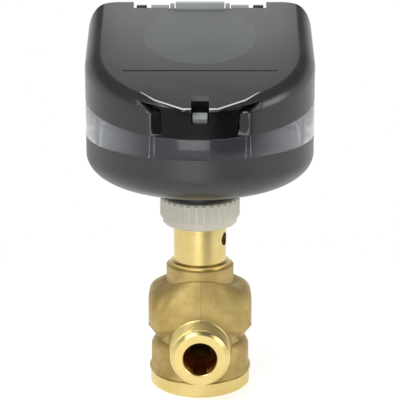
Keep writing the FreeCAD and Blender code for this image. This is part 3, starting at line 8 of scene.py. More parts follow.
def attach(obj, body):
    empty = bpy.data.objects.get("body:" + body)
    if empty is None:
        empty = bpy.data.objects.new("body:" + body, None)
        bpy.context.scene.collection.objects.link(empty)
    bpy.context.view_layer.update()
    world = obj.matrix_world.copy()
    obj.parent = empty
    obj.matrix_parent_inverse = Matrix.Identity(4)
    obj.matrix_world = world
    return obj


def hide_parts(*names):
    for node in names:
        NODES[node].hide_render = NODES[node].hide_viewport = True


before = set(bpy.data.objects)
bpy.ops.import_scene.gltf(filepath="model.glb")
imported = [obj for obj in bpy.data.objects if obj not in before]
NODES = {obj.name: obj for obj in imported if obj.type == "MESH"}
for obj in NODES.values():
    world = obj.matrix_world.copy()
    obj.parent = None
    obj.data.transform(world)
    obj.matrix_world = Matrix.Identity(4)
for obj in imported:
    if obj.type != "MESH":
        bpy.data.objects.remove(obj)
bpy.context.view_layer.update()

MM = 0.001

# Levels and places that the frame has, in millimetres
PLAN_RADIUS = 50
PORT_LEVEL, NECK_RADIUS = 23.45, 15.32
BARREL_FOOT, BARREL_END, PORT_END = 22.0, 33.6, 35
LIP_FRONT, LIP_WALL, TOP_RISE = 139.35, 1.5, 0.30382
LIP_CORNER, LIP_SLANT, LIP_SIDES = 7.4, 0.6087, 61.9
RECESS_HALF, RECESS_TOP = 20.75, 137.7
PAD_PLACE, PAD_REACH, PAD_REAR = 11.0, 26.25, 33.85
MOTOR_TOP, MOTOR_X, MOTOR_Y = 135.95, -19.97, -1.99
BOARD_TOP = 141.55


def colour_of(red, green, blue):
    """A screen colour, 0 to 255, as the linear values that the shaders take."""
    return tuple(
        part / 255 / 12.92 if part / 255 <= 0.04045 else ((part / 255 + 0.055) / 1.055) ** 2.4
        for part in (red, green, blue))


DARK_COLOUR = colour_of(47, 49, 50)
CAST_COLOUR = colour_of(190, 168, 106)
TURNED_COLOUR = colour_of(222, 202, 136)


# The finishes: shared effects first, then one material for each surface
def effect_group(name, inputs, outputs):
    """An empty shader group with its sockets."""
    group = bpy.data.node_groups.new(name, "ShaderNodeTree")
    for label, kind, value in inputs:
        socket = group.interface.new_socket(label, in_out="INPUT", socket_type=kind)
        if kind == "NodeSocketFloat":
            socket.default_value = value
    for label, kind in outputs:
        group.interface.new_socket(label, in_out="OUTPUT", socket_type=kind)
    return group, group.nodes.new("NodeGroupInput"), group.nodes.new("NodeGroupOutput")


def put(tree, kind, settings=None, **values):
    """A node in a tree, with its settings and the values of its sockets."""
    made = tree.nodes.new(kind)
    for label, value in (settings or {}).items():
        setattr(made, label, value)
    for label, value in values.items():
        socket = made.inputs[int(label[1:])] if label[0] == "_" else made.inputs[label]
        if isinstance(value, bpy.types.NodeSocket):
            tree.links.new(value, socket)
        else:
            socket.default_value = value
    return made


def sums(tree, kind, *values, clamp=False):
    """The output of a Math node on one, two or three values."""
    settings = {"operation": kind, "use_clamp": clamp}
    wires = {f"_{place}": value for place, value in enumerate(values)}
    return put(tree, "ShaderNodeMath", settings, **wires).outputs[0]


def turning_marks():
    """Fine rings round the Z axis, as a lathe leaves them on sides and faces."""
    group, given, result = effect_group(
        "turning marks",
        [("Place", "NodeSocketVector", 0), ("Rings per metre", "NodeSocketFloat", 2500.0)],
        [("Rings", "NodeSocketFloat")],
    )
    flat = put(group, "ShaderNodeVectorMath", {"operation": "MULTIPLY"}, _0=given.outputs[0], _1=(1, 1, 0))
    radius = put(group, "ShaderNodeVectorMath", {"operation": "LENGTH"}, _0=flat.outputs[0])
    height = put(group, "ShaderNodeSeparateXYZ", _0=given.outputs[0])
    along = sums(group, "ADD", radius.outputs["Value"], height.outputs["Z"])
    count = sums(group, "MULTIPLY", along, given.outputs[1])
    rings = put(group, "ShaderNodeTexNoise", {"noise_dimensions": "1D"}, W=count, Scale=1.0, Detail=2.0)
    group.links.new(rings.outputs[0], result.inputs[0])
    return group


def surface_grain():
    """The small bumps of a moulded or cast skin, over soft larger unevenness."""
    group, given, result = effect_group(
        "surface grain",
        [("Place", "NodeSocketVector", 0), ("Grains per metre", "NodeSocketFloat", 1500.0),
         ("Unevenness", "NodeSocketFloat", 0.3)],
        [("Grain", "NodeSocketFloat")],
    )
    small = put(group, "ShaderNodeTexNoise", Vector=given.outputs[0], Scale=given.outputs[1], Detail=3.0)
    broad_scale = sums(group, "MULTIPLY", given.outputs[1], 0.08)
    broad = put(group, "ShaderNodeTexNoise", Vector=given.outputs[0], Scale=broad_scale, Detail=2.0)
    lifted = sums(group, "MULTIPLY", broad.outputs[0], given.outputs[2])
    total = sums(group, "ADD", small.outputs[0], lifted)
    group.links.new(total, result.inputs[0])
    return group


def handling():
    """Soft patches where a surface is a little dustier or more worn, from 0 to 1."""
    group, given, result = effect_group(
        "handling",
        [("Place", "NodeSocketVector", 0), ("Patches per metre", "NodeSocketFloat", 40.0)],
        [("Patches", "NodeSocketFloat")],
    )
    noise = put(group, "ShaderNodeTexNoise", Vector=given.outputs[0], Scale=given.outputs[1], Detail=4.0,
                Roughness=0.6)
    spread = put(group, "ShaderNodeMapRange", _0=noise.outputs[0], _1=0.35, _2=0.68)
    group.links.new(spread.outputs[0], result.inputs[0])
    return group


TURNING = turning_marks()
GRAIN = surface_grain()
HANDLING = handling()


class Finish:
    """A material with its shader, its object coordinates and short ways to wire both."""

    def __init__(self, name, colour, roughness, metallic=0.0):
        self.material = bpy.data.materials.new(name)
        self.material.use_nodes = True
        self.tree = self.material.node_tree
        self.shader = self.tree.nodes["Principled BSDF"]
        self.colour = colour
        self.roughness = roughness
        self.shader.inputs["Base Color"].default_value = (*colour, 1)
        self.shader.inputs["Roughness"].default_value = roughness
        self.shader.inputs["Metallic"].default_value = metallic
        self.place = self.tree.nodes.new("ShaderNodeTexCoord").outputs["Object"]
        self.material.diffuse_color = (*colour, 1)

    def turned(self, turn=(0, 0, 0), middle=(0, 0, 0)):
        """Object coordinates turned so that their Z axis is the work's own axis."""
        moved = put(self.tree, "ShaderNodeVectorMath", {"operation": "SUBTRACT"}, _0=self.place, _1=middle)
        return put(self.tree, "ShaderNodeMapping", Vector=moved.outputs[0], Rotation=turn).outputs[0]

    def effect(self, group, place, **values):
        """The output of one of the shared effects."""
        made = put(self.tree, "ShaderNodeGroup", {"node_tree": group}, Place=place)
        for label, value in values.items():
            made.inputs[label.replace("_", " ")].default_value = value
        return made.outputs[0]

    def tint(self, mask, other, socket=None):
        """Mixes another colour into the base colour by a mask."""
        mixed = put(self.tree, "ShaderNodeMix", {"data_type": "RGBA"}, _0=mask, _6=(*self.colour, 1),
                    _7=(*other, 1))
        if socket is not None:
            self.tree.links.new(socket, mixed.inputs[6])
        self.tree.links.new(mixed.outputs[2], self.shader.inputs["Base Color"])
        return mixed.outputs[2]

    def rough(self, mask, low, high):
        """Lets the roughness run from low to high with a mask."""
        spread = put(self.tree, "ShaderNodeMapRange", _0=mask, _3=low, _4=high)
        self.tree.links.new(spread.outputs[0], self.shader.inputs["Roughness"])

    def bump(self, height, depth, strength=1.0):
        """Raises the surface by a height pattern, over the one wired before."""
        made = put(self.tree, "ShaderNodeBump", Height=height, Distance=depth, Strength=strength)
        before = self.shader.inputs["Normal"].links
        if before:
            self.tree.links.new(before[0].from_socket, made.inputs["Normal"])
        self.tree.links.new(made.outputs[0], self.shader.inputs["Normal"])


def cast_brass():
    """Sand-cast brass, grainy and pale: bright where port and neck were turned, brown in the bore."""
    made = Finish("cast_brass", CAST_COLOUR, 0.5)
    tree = made.tree
    patches = made.effect(HANDLING, made.place, Patches_per_metre=90.0)
    cast = made.tint(patches, colour_of(168, 142, 84))
    along = put(tree, "ShaderNodeSeparateXYZ", _0=made.place).outputs
    across = put(tree, "ShaderNodeVectorMath", {"operation": "SUBTRACT"}, _0=made.place,
                 _1=(0, 0, PORT_LEVEL * MM))
    across = put(tree, "ShaderNodeVectorMath", {"operation": "MULTIPLY"}, _0=across.outputs[0],
                 _1=(1, 0, 1))
    across = put(tree, "ShaderNodeVectorMath", {"operation": "LENGTH"}, _0=across.outputs[0])
    radius = across.outputs["Value"]
    reach = sums(tree, "ABSOLUTE", along["Y"])
    barrel = sums(tree, "MULTIPLY", sums(tree, "GREATER_THAN", reach, 0.0219),
                  sums(tree, "LESS_THAN", radius, 0.0136))
    bore = sums(tree, "LESS_THAN", radius, 0.0077)
    neck = sums(tree, "GREATER_THAN", along["Z"], 0.0569)
    turned = sums(tree, "MAXIMUM", barrel, neck)
    bright_skin = made.tint(turned, TURNED_COLOUR, cast)
    bore = sums(tree, "MULTIPLY", bore, sums(tree, "LESS_THAN", reach, 0.0346))
    made.tint(bore, colour_of(158, 104, 44), bright_skin)
    lathe = made.turned((pi / 2, 0, 0), (0, 0, PORT_LEVEL * MM))
    rings = made.effect(TURNING, lathe, Rings_per_metre=3800.0)
    skin = sums(tree, "MULTIPLY_ADD", patches, 0.16, 0.42)
    bright = sums(tree, "MULTIPLY_ADD", rings, 0.14, 0.28)
    made.rough(turned, skin, bright)
    metal = put(tree, "ShaderNodeMapRange", _0=turned, _3=0.72, _4=1.0)
    tree.links.new(metal.outputs[0], made.shader.inputs["Metallic"])
    grain = made.effect(GRAIN, made.place, Grains_per_metre=2600.0, Unevenness=0.8)
    made.bump(sums(tree, "MULTIPLY", grain, sums(tree, "SUBTRACT", 1.0, turned)), 0.0002, 0.8)
    return made.material


def turned_brass(name, turn=(0, 0, 0), middle=(0, 0, 0)):
    """Bright lathe-turned brass, with the tool's rings round the work's axis."""
    made = Finish(name, TURNED_COLOUR, 0.24, 1.0)
    patches = made.effect(HANDLING, made.place, Patches_per_metre=60.0)
    made.tint(patches, colour_of(208, 186, 118))
    rings = made.effect(TURNING, made.turned(turn, middle), Rings_per_metre=3800.0)
    made.rough(rings, 0.2, 0.4)
    made.bump(rings, 0.00002, 0.5)
    return made.material


def cover_plastic():
    """The cover's dark plastic: polished in the front recess, a little paler on the round pad."""
    made = Finish("cover_plastic", colour_of(42, 44, 44), 0.3)
    tree = made.tree
    patches = made.effect(HANDLING, made.place, Patches_per_metre=28.0)
    skin = made.tint(patches, colour_of(47, 50, 49))
    place = put(tree, "ShaderNodeVectorMath", {"operation": "SCALE"}, _0=made.place, Scale=1 / MM)
    place = place.outputs[0]
    along = put(tree, "ShaderNodeSeparateXYZ", _0=place).outputs
    flat = put(tree, "ShaderNodeVectorMath", {"operation": "MULTIPLY"}, _0=place, _1=(1, 1, 0))
    radius = put(tree, "ShaderNodeVectorMath", {"operation": "LENGTH"}, _0=flat.outputs[0])
    radius = radius.outputs["Value"]
    slope = sums(tree, "MULTIPLY_ADD", along["Y"], -TOP_RISE, along["Z"])
    under_lip = sums(tree, "SUBTRACT", slope, LIP_FRONT - LIP_WALL + PLAN_RADIUS * TOP_RISE)
    front = sums(tree, "LESS_THAN", along["Y"], -30.0)
    sides = sums(tree, "COMPARE", radius, 46.35, 3.45)
    sides = sums(tree, "MULTIPLY", sides, sums(tree, "COMPARE", along["X"], 0.0, 20.7))
    sides = sums(tree, "MULTIPLY", sides, sums(tree, "LESS_THAN", under_lip, 0.1))
    pocket = sums(tree, "COMPARE", radius, 46.3, 3.8)
    pocket = sums(tree, "MULTIPLY", pocket, sums(tree, "COMPARE", along["X"], 0.0, 24.7))
    pocket = sums(tree, "MULTIPLY", pocket, sums(tree, "COMPARE", under_lip, -1.3, 1.45))
    wide = sums(tree, "ABSOLUTE", along["X"])
    edge = sums(tree, "MULTIPLY_ADD", wide, LIP_SLANT, -PLAN_RADIUS - LIP_CORNER * LIP_SLANT)
    edge = sums(tree, "MAXIMUM", edge, -PLAN_RADIUS)
    edge = sums(tree, "MAXIMUM", edge, sums(tree, "SUBTRACT", wide, LIP_SIDES))
    face = sums(tree, "COMPARE", sums(tree, "SUBTRACT", along["Y"], edge), 0.0, 0.12)
    face = sums(tree, "MULTIPLY", face, sums(tree, "COMPARE", under_lip, 0.66, 0.76))
    face = sums(tree, "MULTIPLY", face, sums(tree, "COMPARE", along["X"], 0.0, 25.0))
    polished = sums(tree, "MAXIMUM", sums(tree, "MAXIMUM", sides, pocket), face)
    polished = sums(tree, "MULTIPLY", polished, front)
    off_pad = put(tree, "ShaderNodeVectorMath", {"operation": "DISTANCE"}, _0=flat.outputs[0],
                  _1=(0, PAD_PLACE, 0)).outputs["Value"]
    pad = put(tree, "ShaderNodeMapRange", {"interpolation_type": "SMOOTHSTEP"},
              _0=off_pad, _1=25.6, _2=24.2)
    pad_skin = sums(tree, "MULTIPLY", pad.outputs[0], sums(tree, "GREATER_THAN", under_lip, LIP_WALL - 0.5))
    skin = made.tint(pad_skin, colour_of(66, 71, 71), skin)
    made.tint(polished, colour_of(20, 20, 21), skin)
    matt = sums(tree, "MULTIPLY_ADD", patches, 0.05, 0.23)
    matt = sums(tree, "MULTIPLY_ADD", pad.outputs[0], 0.06, matt)
    made.rough(polished, matt, 0.08)
    grain = made.effect(GRAIN, made.place, Grains_per_metre=2200.0, Unevenness=0.2)
    made.bump(sums(tree, "MULTIPLY", grain, sums(tree, "SUBTRACT", 1.0, polished)), 0.00003, 0.7)
    return made.material


def moulded_plastic(name, colour, roughness, wear_and_highlight, grains=2200.0, depth=0.00003):
    """Moulded plastic with a fine spark-eroded skin and slight dust; the lip's bead takes it as painted
    highlight.
    """
    made = Finish(name, colour, roughness)
    patches = made.effect(HANDLING, made.place, Patches_per_metre=28.0)
    made.tint(patches, wear_and_highlight)
    made.rough(patches, roughness - 0.05, roughness + 0.08)
    made.bump(made.effect(GRAIN, made.place, Grains_per_metre=grains, Unevenness=0.2), depth, 0.7)
    return made.material


def gloss_black():
    """The polished black panel behind the visor."""
    made = Finish("gloss_black", colour_of(13, 13, 14), 0.08)
    patches = made.effect(HANDLING, made.place, Patches_per_metre=70.0)
    made.tint(patches, colour_of(18, 18, 19))
    made.rough(patches, 0.05, 0.14)
    made.shader.inputs["Specular IOR Level"].default_value = 0.22
    made.bump(made.effect(GRAIN, made.place, Grains_per_metre=300.0, Unevenness=0.0), 0.00001, 0.3)
    return made.material


def clear_plastic():
    """Smoky clear plastic of the light ring, with painted light: paler towards its sides, where light passes
    through.
    """
    made = Finish("clear_plastic", colour_of(122, 123, 132), 0.1)
    patches = made.effect(HANDLING, made.place, Patches_per_metre=30.0)
    smoky = made.tint(patches, colour_of(112, 113, 124))
    along = put(made.tree, "ShaderNodeSeparateXYZ", _0=made.place).outputs
    wide = sums(made.tree, "ABSOLUTE", along["X"])
    # Painted light: the ring is painted paler towards its sides, where light passes through it, and darker
    # in the middle
    painted_side_light = put(made.tree, "ShaderNodeMapRange", {"interpolation_type": "SMOOTHSTEP"},
                  _0=wide, _1=0.018, _2=0.046)
    made.tint(painted_side_light.outputs[0], colour_of(236, 239, 242), smoky)
    made.rough(patches, 0.08, 0.16)
    made.shader.inputs["Transmission Weight"].default_value = 0.86
    made.shader.inputs["IOR"].default_value = 1.46
    made.bump(made.effect(GRAIN, made.place, Grains_per_metre=400.0, Unevenness=0.0), 0.00001, 0.4)
    return made.material


def bare_steel(name, colour, roughness, turn=(0, 0, 0), middle=(0, 0, 0)):
    """Turned or ground steel with fine lines round its axis."""
    made = Finish(name, colour, roughness, 1.0)
    patches = made.effect(HANDLING, made.place, Patches_per_metre=80.0)
    made.tint(patches, tuple(part * 0.8 for part in colour))
    rings = made.effect(TURNING, made.turned(turn, middle), Rings_per_metre=5200.0)
    made.rough(rings, roughness - 0.08, roughness + 0.1)
    made.bump(rings, 0.00001, 0.4)
    return made.material


def zinc_sheet():
    """Zinc-plated sheet with its faint cloudy spangle."""
    made = Finish("zinc_sheet", colour_of(176, 180, 182), 0.36, 0.9)
    spangle = put(made.tree, "ShaderNodeTexVoronoi", Vector=made.place, Scale=420.0)
    shade = put(made.tree, "ShaderNodeSeparateXYZ", _0=spangle.outputs["Color"])
    made.tint(shade.outputs[0], colour_of(150, 155, 160))
    made.rough(shade.outputs[1], 0.28, 0.46)
    made.bump(made.effect(GRAIN, made.place, Grains_per_metre=900.0, Unevenness=0.3), 0.00001, 0.5)
    return made.material


def rubber():
    """Dull black rubber with a bloom on it."""
    made = Finish("rubber", colour_of(34, 34, 35), 0.7)
    patches = made.effect(HANDLING, made.place, Patches_per_metre=120.0)
    made.tint(patches, colour_of(50, 50, 51))
    made.rough(patches, 0.62, 0.82)
    made.bump(made.effect(GRAIN, made.place, Grains_per_metre=3000.0, Unevenness=0.4), 0.00004, 0.6)
    return made.material


def board_green():
    """Solder-masked circuit board: copper tracks show through as lighter lines."""
    made = Finish("board_green", colour_of(28, 92, 56), 0.3)
    grid = put(made.tree, "ShaderNodeTexBrick", {"offset": 0.37, "squash": 0.6, "squash_frequency": 3},
               Vector=made.place, Scale=260.0, _1=(0, 0, 0, 1), _2=(0, 0, 0, 1), _3=(1, 1, 1, 1))
    grid.inputs["Mortar Size"].default_value = 0.06
    grid.inputs["Mortar Smooth"].default_value = 0.1
    tracks = put(made.tree, "ShaderNodeSeparateXYZ", _0=grid.outputs[0])
    made.tint(tracks.outputs[0], colour_of(52, 128, 76))
    made.rough(made.effect(HANDLING, made.place, Patches_per_metre=90.0), 0.24, 0.4)
    made.bump(tracks.outputs[0], 0.00003, 0.5)
    return made.material


DARK = moulded_plastic("dark_plastic", DARK_COLOUR, 0.34, colour_of(53, 56, 56))
COVER = cover_plastic()
NUT_GREY = moulded_plastic("nut_plastic", colour_of(224, 220, 207), 0.4, colour_of(212, 207, 190))
LIGHT_GREY = moulded_plastic("light_plastic", colour_of(150, 156, 154), 0.45, colour_of(142, 148, 146))
NATURAL = moulded_plastic("inner_plastic", colour_of(226, 224, 214), 0.38, colour_of(216, 212, 198), 1200.0)
TERMINAL = moulded_plastic("terminal_green", colour_of(58, 132, 84), 0.4, colour_of(50, 120, 76))
RELAY_BLACK = moulded_plastic("relay_black", colour_of(38, 38, 40), 0.36, colour_of(46, 46, 48))
CAST = cast_brass()
TURNED = turned_brass("turned_brass")
PORT_BRASS = turned_brass("port_brass", turn=(pi / 2, 0, 0), middle=(0, 0, PORT_LEVEL * MM))
STEEL = bare_steel("steel", colour_of(188, 190, 192), 0.3)
MOTOR_STEEL = bare_steel("motor_steel", colour_of(170, 172, 174), 0.34,
                         middle=(MOTOR_X * MM, MOTOR_Y * MM, 0))
ZINC = zinc_sheet()
RUBBER = rubber()
GLOSS = gloss_black()
# Painted highlight: a near-white plastic that stands in for the light caught along the dark lip's rounded
# edge
LIP_HIGHLIGHT = moulded_plastic("lip_highlight", colour_of(206, 208, 210), 0.16, colour_of(214, 216, 218))
CLEAR = clear_plastic()
BOARD = board_green()

WEARS = {
    "base_cap": TURNED, "cap_seal": RUBBER, "valve_body": CAST, "seat_ring": TURNED,
    "bonnet": TURNED, "stem_seal": RUBBER, "gland_nut": TURNED, "valve_stem": STEEL,
    "closing_disc": TURNED, "spring_plate": STEEL, "return_spring": STEEL,
    "coupling_nut": NUT_GREY, "lower_housing": DARK, "clear_band": CLEAR, "cover": COVER,
    "front_panel": GLOSS, "latch_tongue": LIGHT_GREY, "rear_panel": LIGHT_GREY,
    "hinge_pin": STEEL, "cable_grommets": RUBBER, "lower_plate": ZINC, "upper_plate": ZINC,
    "plate_posts": STEEL, "plate_screws": STEEL, "guide_bush": NATURAL, "spindle": STEEL,
    "drive_wheel": NATURAL, "idler_gear": NATURAL, "idler_axle": STEEL, "motor": MOTOR_STEEL,
    "motor_shaft": STEEL, "motor_pinion": TURNED, "circuit_board": BOARD,
    "board_posts": NATURAL, "board_screws": STEEL, "terminal_block": TERMINAL,
    "terminal_screws": STEEL, "setting_switches": RELAY_BLACK, "relay": RELAY_BLACK,
    "switch_slider_1": NATURAL, "switch_slider_2": NATURAL, "switch_slider_3": NATURAL,
    "switch_slider_4": NATURAL,
}
for name, material in WEARS.items():
    surface = NODES[name].data
    surface.materials.clear()
    surface.materials.append(material)


def copy_of(node):
    """A CAD node's mesh as a bmesh of joined faces."""
    shape = bmesh.new()
    shape.from_mesh(NODES[node].data)
    bmesh.ops.remove_doubles(shape, verts=shape.verts, dist=0.000002)
    return shape


def piece(name, shape, material, body, sharp=32, even=False):
    """Turns a bmesh into a finished object that rides on a body; even lets large faces rule the shading."""
    bmesh.ops.recalc_face_normals(shape, faces=shape.faces)
    mesh = bpy.data.meshes.new(name)
    shape.to_mesh(mesh)
    shape.free()
    mesh.polygons.foreach_set("use_smooth", [True] * len(mesh.polygons))
    mesh.set_sharp_from_angle(angle=radians(sharp))
    mesh.materials.append(material)
    made = bpy.data.objects.new(name, mesh)
    bpy.context.scene.collection.objects.link(made)
    if even:
        weigh = made.modifiers.new("even", "WEIGHTED_NORMAL")
        weigh.keep_sharp = True
        graph = bpy.context.evaluated_depsgraph_get()
        made.data = bpy.data.meshes.new_from_object(made.evaluated_get(graph))
        made.modifiers.clear()
    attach(made, body)
    return made


def carved(shape, tool, kind="DIFFERENCE"):
    """A bmesh cut by another one, joined with it, or what the two share.

    A cut leaves doubles under a thousandth of a millimetre apart. They are merged, because a mesh that isn't
    closed can lose its parts in the next cut.
    """
    meshes = []
    objects = []
    for work in (shape, tool):
        mesh = bpy.data.meshes.new("work")
        work.to_mesh(mesh)
        work.free()
        made = bpy.data.objects.new("work", mesh)
        bpy.context.scene.collection.objects.link(made)
        meshes.append(mesh)
        objects.append(made)
    cutting = objects[0].modifiers.new("cutting", "BOOLEAN")
    cutting.operation = kind
    cutting.solver = "EXACT"
    cutting.object = objects[1]
    graph = bpy.context.evaluated_depsgraph_get()
    finished = bpy.data.meshes.new_from_object(objects[0].evaluated_get(graph))
    result = bmesh.new()
    result.from_mesh(finished)
    bmesh.ops.remove_doubles(result, verts=result.verts, dist=0.000001)
    for made in objects:
        bpy.data.objects.remove(made)
    for mesh in (*meshes, finished):
        bpy.data.meshes.remove(mesh)
    return result


def spun(profile, steps=64, rise=0.0, turns=1.0):
    """A closed (radius, height) outline turned round the Z axis, in millimetres."""
    shape = bmesh.new()
    corners = [shape.verts.new((radius * MM, 0, height * MM)) for radius, height in profile]
    face = shape.faces.new(corners)
    if rise:
        bmesh.ops.spin(
            shape, geom=[face], axis=(0, 0, 1), angle=2 * pi * turns, steps=round(steps * turns),
            dvec=(0, 0, rise * MM / steps))
        open_edges = [edge for edge in shape.edges if edge.is_boundary]
        bmesh.ops.holes_fill(shape, edges=open_edges)
    else:
        ring = list(face.edges)
        shape.faces.remove(face)
        bmesh.ops.spin(
            shape, geom=ring, axis=(0, 0, 1), angle=2 * pi, steps=steps, use_merge=True)
    bmesh.ops.recalc_face_normals(shape, faces=shape.faces)
    return shape


def brick(size, at, bevel=0.0):
    """A block of a size about a middle, in millimetres, with its edges bevelled."""
    shape = bmesh.new()
    bmesh.ops.create_cube(shape, size=MM)
    bmesh.ops.scale(shape, verts=shape.verts, vec=size)
    if bevel:
        bmesh.ops.bevel(
            shape, geom=shape.edges, offset=bevel * MM, segments=2, profile=0.5, affect="EDGES",
            material=-1)
    bmesh.ops.translate(shape, verts=shape.verts, vec=Vector(at) * MM)
    return shape


def peg(outline, at, steps=24):
    """A turned piece from (radius, height) corners, closed at both ends, stood at a place."""
    shape = spun(outline, steps)
    bmesh.ops.translate(shape, verts=shape.verts, vec=Vector(at) * MM)
    return shape


def together(shapes):
    """Several bmeshes as one, each still a body of its own."""
    whole = bmesh.new()
    for shape in shapes:
        work = bpy.data.meshes.new("work")
        shape.to_mesh(work)
        shape.free()
        whole.from_mesh(work)
        bpy.data.meshes.remove(work)
    return whole


def placed(shape, turn=0.0, axis="X", at=(0, 0, 0)):
    """Turns a bmesh by degrees about an axis, then moves it, in millimetres."""
    bmesh.ops.rotate(shape, verts=shape.verts, matrix=Matrix.Rotation(radians(turn), 3, axis))
    bmesh.ops.translate(shape, verts=shape.verts, vec=Vector(at) * MM)
    return shape


def parting_line(shape, half, height, on_skin):
    """Raises the thin seam that a mould's two halves leave on a casting's middle plane."""
    for place in (-half, 0, half):
        skin = [face for face in shape.faces
                if on_skin(*[part / MM for part in face.calc_center_median().yz])]
        edges = list(dict.fromkeys(edge for face in skin for edge in face.edges))
        corners = list(dict.fromkeys(corner for face in skin for corner in face.verts))
        bmesh.ops.bisect_plane(
            shape, geom=corners + edges + skin, dist=0.0000001, plane_co=(place * MM, 0, 0),
            plane_no=(1, 0, 0))
    shape.normal_update()
    for corner in shape.verts:
        if abs(corner.co.x) < 0.000005 and on_skin(corner.co.y / MM, corner.co.z / MM):
            corner.co += corner.normal * height * MM


# The shoulder: half its width and depth, its wall inside the neck, and its steps to the edge
SHOULDER_WIDE, SHOULDER_DEEP, SHOULDER_CORE, SHOULDER_STEPS = 23.2, 21.6, 14.2, 20
SHOULDER_WALL = [(0.0, 31.6), (0.5, 30.4), (1.6, 29.6), (3.4, 29.2)]
MARK = 100


def shoulder_level(share, front):
    """Level of the shoulder at a share of the way from the neck to its edge; front is 1 towards a port."""
    ported = min(front / 0.72, 1.0) ** 2
    neck_level = 47.4 + 5.4 * front ** 2
    edge_level = 41.0 - 2.4 * ported
    fall = (1 - ported) * (1 - share ** 3) ** 0.5 + ported * (1 - share ** 1.15)
    return edge_level + (neck_level - edge_level) * fall


def shoulder():
    """The cast shoulder: a rounded lozenge that falls from the neck to its edge, over an upright wall.

    A ring is spun from marks, whose radius and height only number them, and each mark goes to its place.
    """
    rows = len(SHOULDER_WALL)
    marks = [(MARK + place, 0) for place in range(SHOULDER_STEPS + 1)]
    marks += [(MARK + SHOULDER_STEPS, 1 + place) for place in range(rows)]
    marks += [(MARK, rows), (MARK - 2, rows), (MARK - 2, 0)]
    shape = spun(marks, 144)
    foot = SHOULDER_WALL[-1][1]
    for corner in shape.verts:
        across, along = corner.co.xy.normalized()
        edge = (abs(across / SHOULDER_WIDE) ** 4 + abs(along / SHOULDER_DEEP) ** 4) ** -0.25
        mark, row = round(corner.co.xy.length / MM) - MARK, round(corner.co.z / MM)
        share = mark / SHOULDER_STEPS
        if mark < 0:
            reach, level = SHOULDER_CORE, foot if row else shoulder_level(0, abs(along))
        elif row == 0:
            reach = NECK_RADIUS + (edge - NECK_RADIUS) * share
            level = shoulder_level(share, abs(along))
        elif mark == 0:
            reach, level = NECK_RADIUS, foot
        else:
            inset, level = SHOULDER_WALL[row - 1]
            reach = edge - inset
        corner.co = Vector((across * reach, along * reach, level)) * MM
    bmesh.ops.recalc_face_normals(shape, faces=shape.faces)
    return shape


def cast_skin(y, z):
    """Whether a point of the valve body's middle plane lies on its rough outside."""
    off_port = abs(z - PORT_LEVEL)
    outside = abs(y) > 14.5 and (z > 13.5 or abs(y) > 17.5)
    return outside and (off_port > 12.7 or off_port > 10 and abs(y) < BARREL_FOOT - 0.1)


def softened(shape, sharp, width, segments=2):
    """Bevels every edge that turns by more than an angle, as a mould's corners are."""
    shape.normal_update()
    edges = [edge for edge in shape.edges
             if len(edge.link_faces) == 2 and edge.calc_face_angle(0) > radians(sharp)]
    bmesh.ops.bevel(
        shape, geom=edges, offset=width * MM, segments=segments, profile=0.5, affect="EDGES", material=-1,
        clamp_overlap=True)
    return shape


def on_port(shape, side):
    """Lays a shape that stands on the Z axis along a port's axis: side -1 is the front port."""
    return placed(shape, 90 * side, at=(0, 0, PORT_LEVEL))


# The pipe threads: the casting's barrel is cut down to the root, and a ridge winds round it
THREAD_ROOT, THREAD_CREST, THREAD_PITCH, THREAD_TURNS = 12.1, 13.2, 1.814, 5.3
CLEAR_OF_PORT = 14.6
ROOT_CUT = [(THREAD_ROOT, BARREL_FOOT), (CLEAR_OF_PORT, BARREL_FOOT), (CLEAR_OF_PORT, BARREL_END),
            (THREAD_ROOT, BARREL_END)]
END_CUT = [(7.3, 33.5), (CLEAR_OF_PORT, 33.5), (CLEAR_OF_PORT, 35.6), (7.3, 35.6)]
RIM = [(7.5, 33.4), (12.6, 33.4), (12.5, 33.75), (11.45, 34.85), (11.25, PORT_END), (7.75, PORT_END),
       (7.5, 34.75)]
RIDGE = [(THREAD_ROOT - 0.2, 0), (THREAD_ROOT, 0), (THREAD_CREST, 0.62), (THREAD_CREST, 0.92),
         (THREAD_ROOT, 1.55), (THREAD_ROOT - 0.2, 1.55)]
body = copy_of("valve_body")
for side in (-1, 1):
    body = carved(body, on_port(spun(ROOT_CUT), side))
    body = carved(body, on_port(spun(END_CUT), side))

# The frame's shoulder comes off down to its foot, and the lozenge takes its place
old_shoulder = carved(
    spun([(15.1, 30.5), (27, 30.5), (27, 56.4), (15.1, 56.4)], 96), brick((60, 42.4, 60), (0, 0, 45)),
    "INTERSECT")
body = carved(carved(body, old_shoulder), shoulder(), "UNION")
parting_line(body, 0.4, 0.2, cast_skin)
casting = piece("valve_casting", body, CAST, "base", 32, True)
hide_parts("valve_body")

rims = [on_port(spun(RIM, 96), side) for side in (-1, 1)]
piece("port_rims", together(rims), PORT_BRASS, "base", 20)
for label, side in (("front", -1), ("rear", 1)):
    ridge = spun(RIDGE, rise=THREAD_PITCH, turns=THREAD_TURNS)
    placed(ridge, at=(0, 0, BARREL_FOOT - 0.1))
    piece(f"{label}_thread", on_port(ridge, side), PORT_BRASS, "base", 50)

band = softened(copy_of("clear_band"), 50, 0.22)
made = piece("light_band", band, CLEAR, "base", 40)
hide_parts("clear_band")


def lip_edge_at(x):
    """Where the lip's front edge lies at a distance from the middle."""
    return max(-PLAN_RADIUS, (abs(x) - LIP_CORNER) * LIP_SLANT - PLAN_RADIUS, abs(x) - LIP_SIDES)


def top_at(y):
    """Level of the cover's slanted top, in millimetres."""
    return LIP_FRONT + (y + PLAN_RADIUS) * TOP_RISE


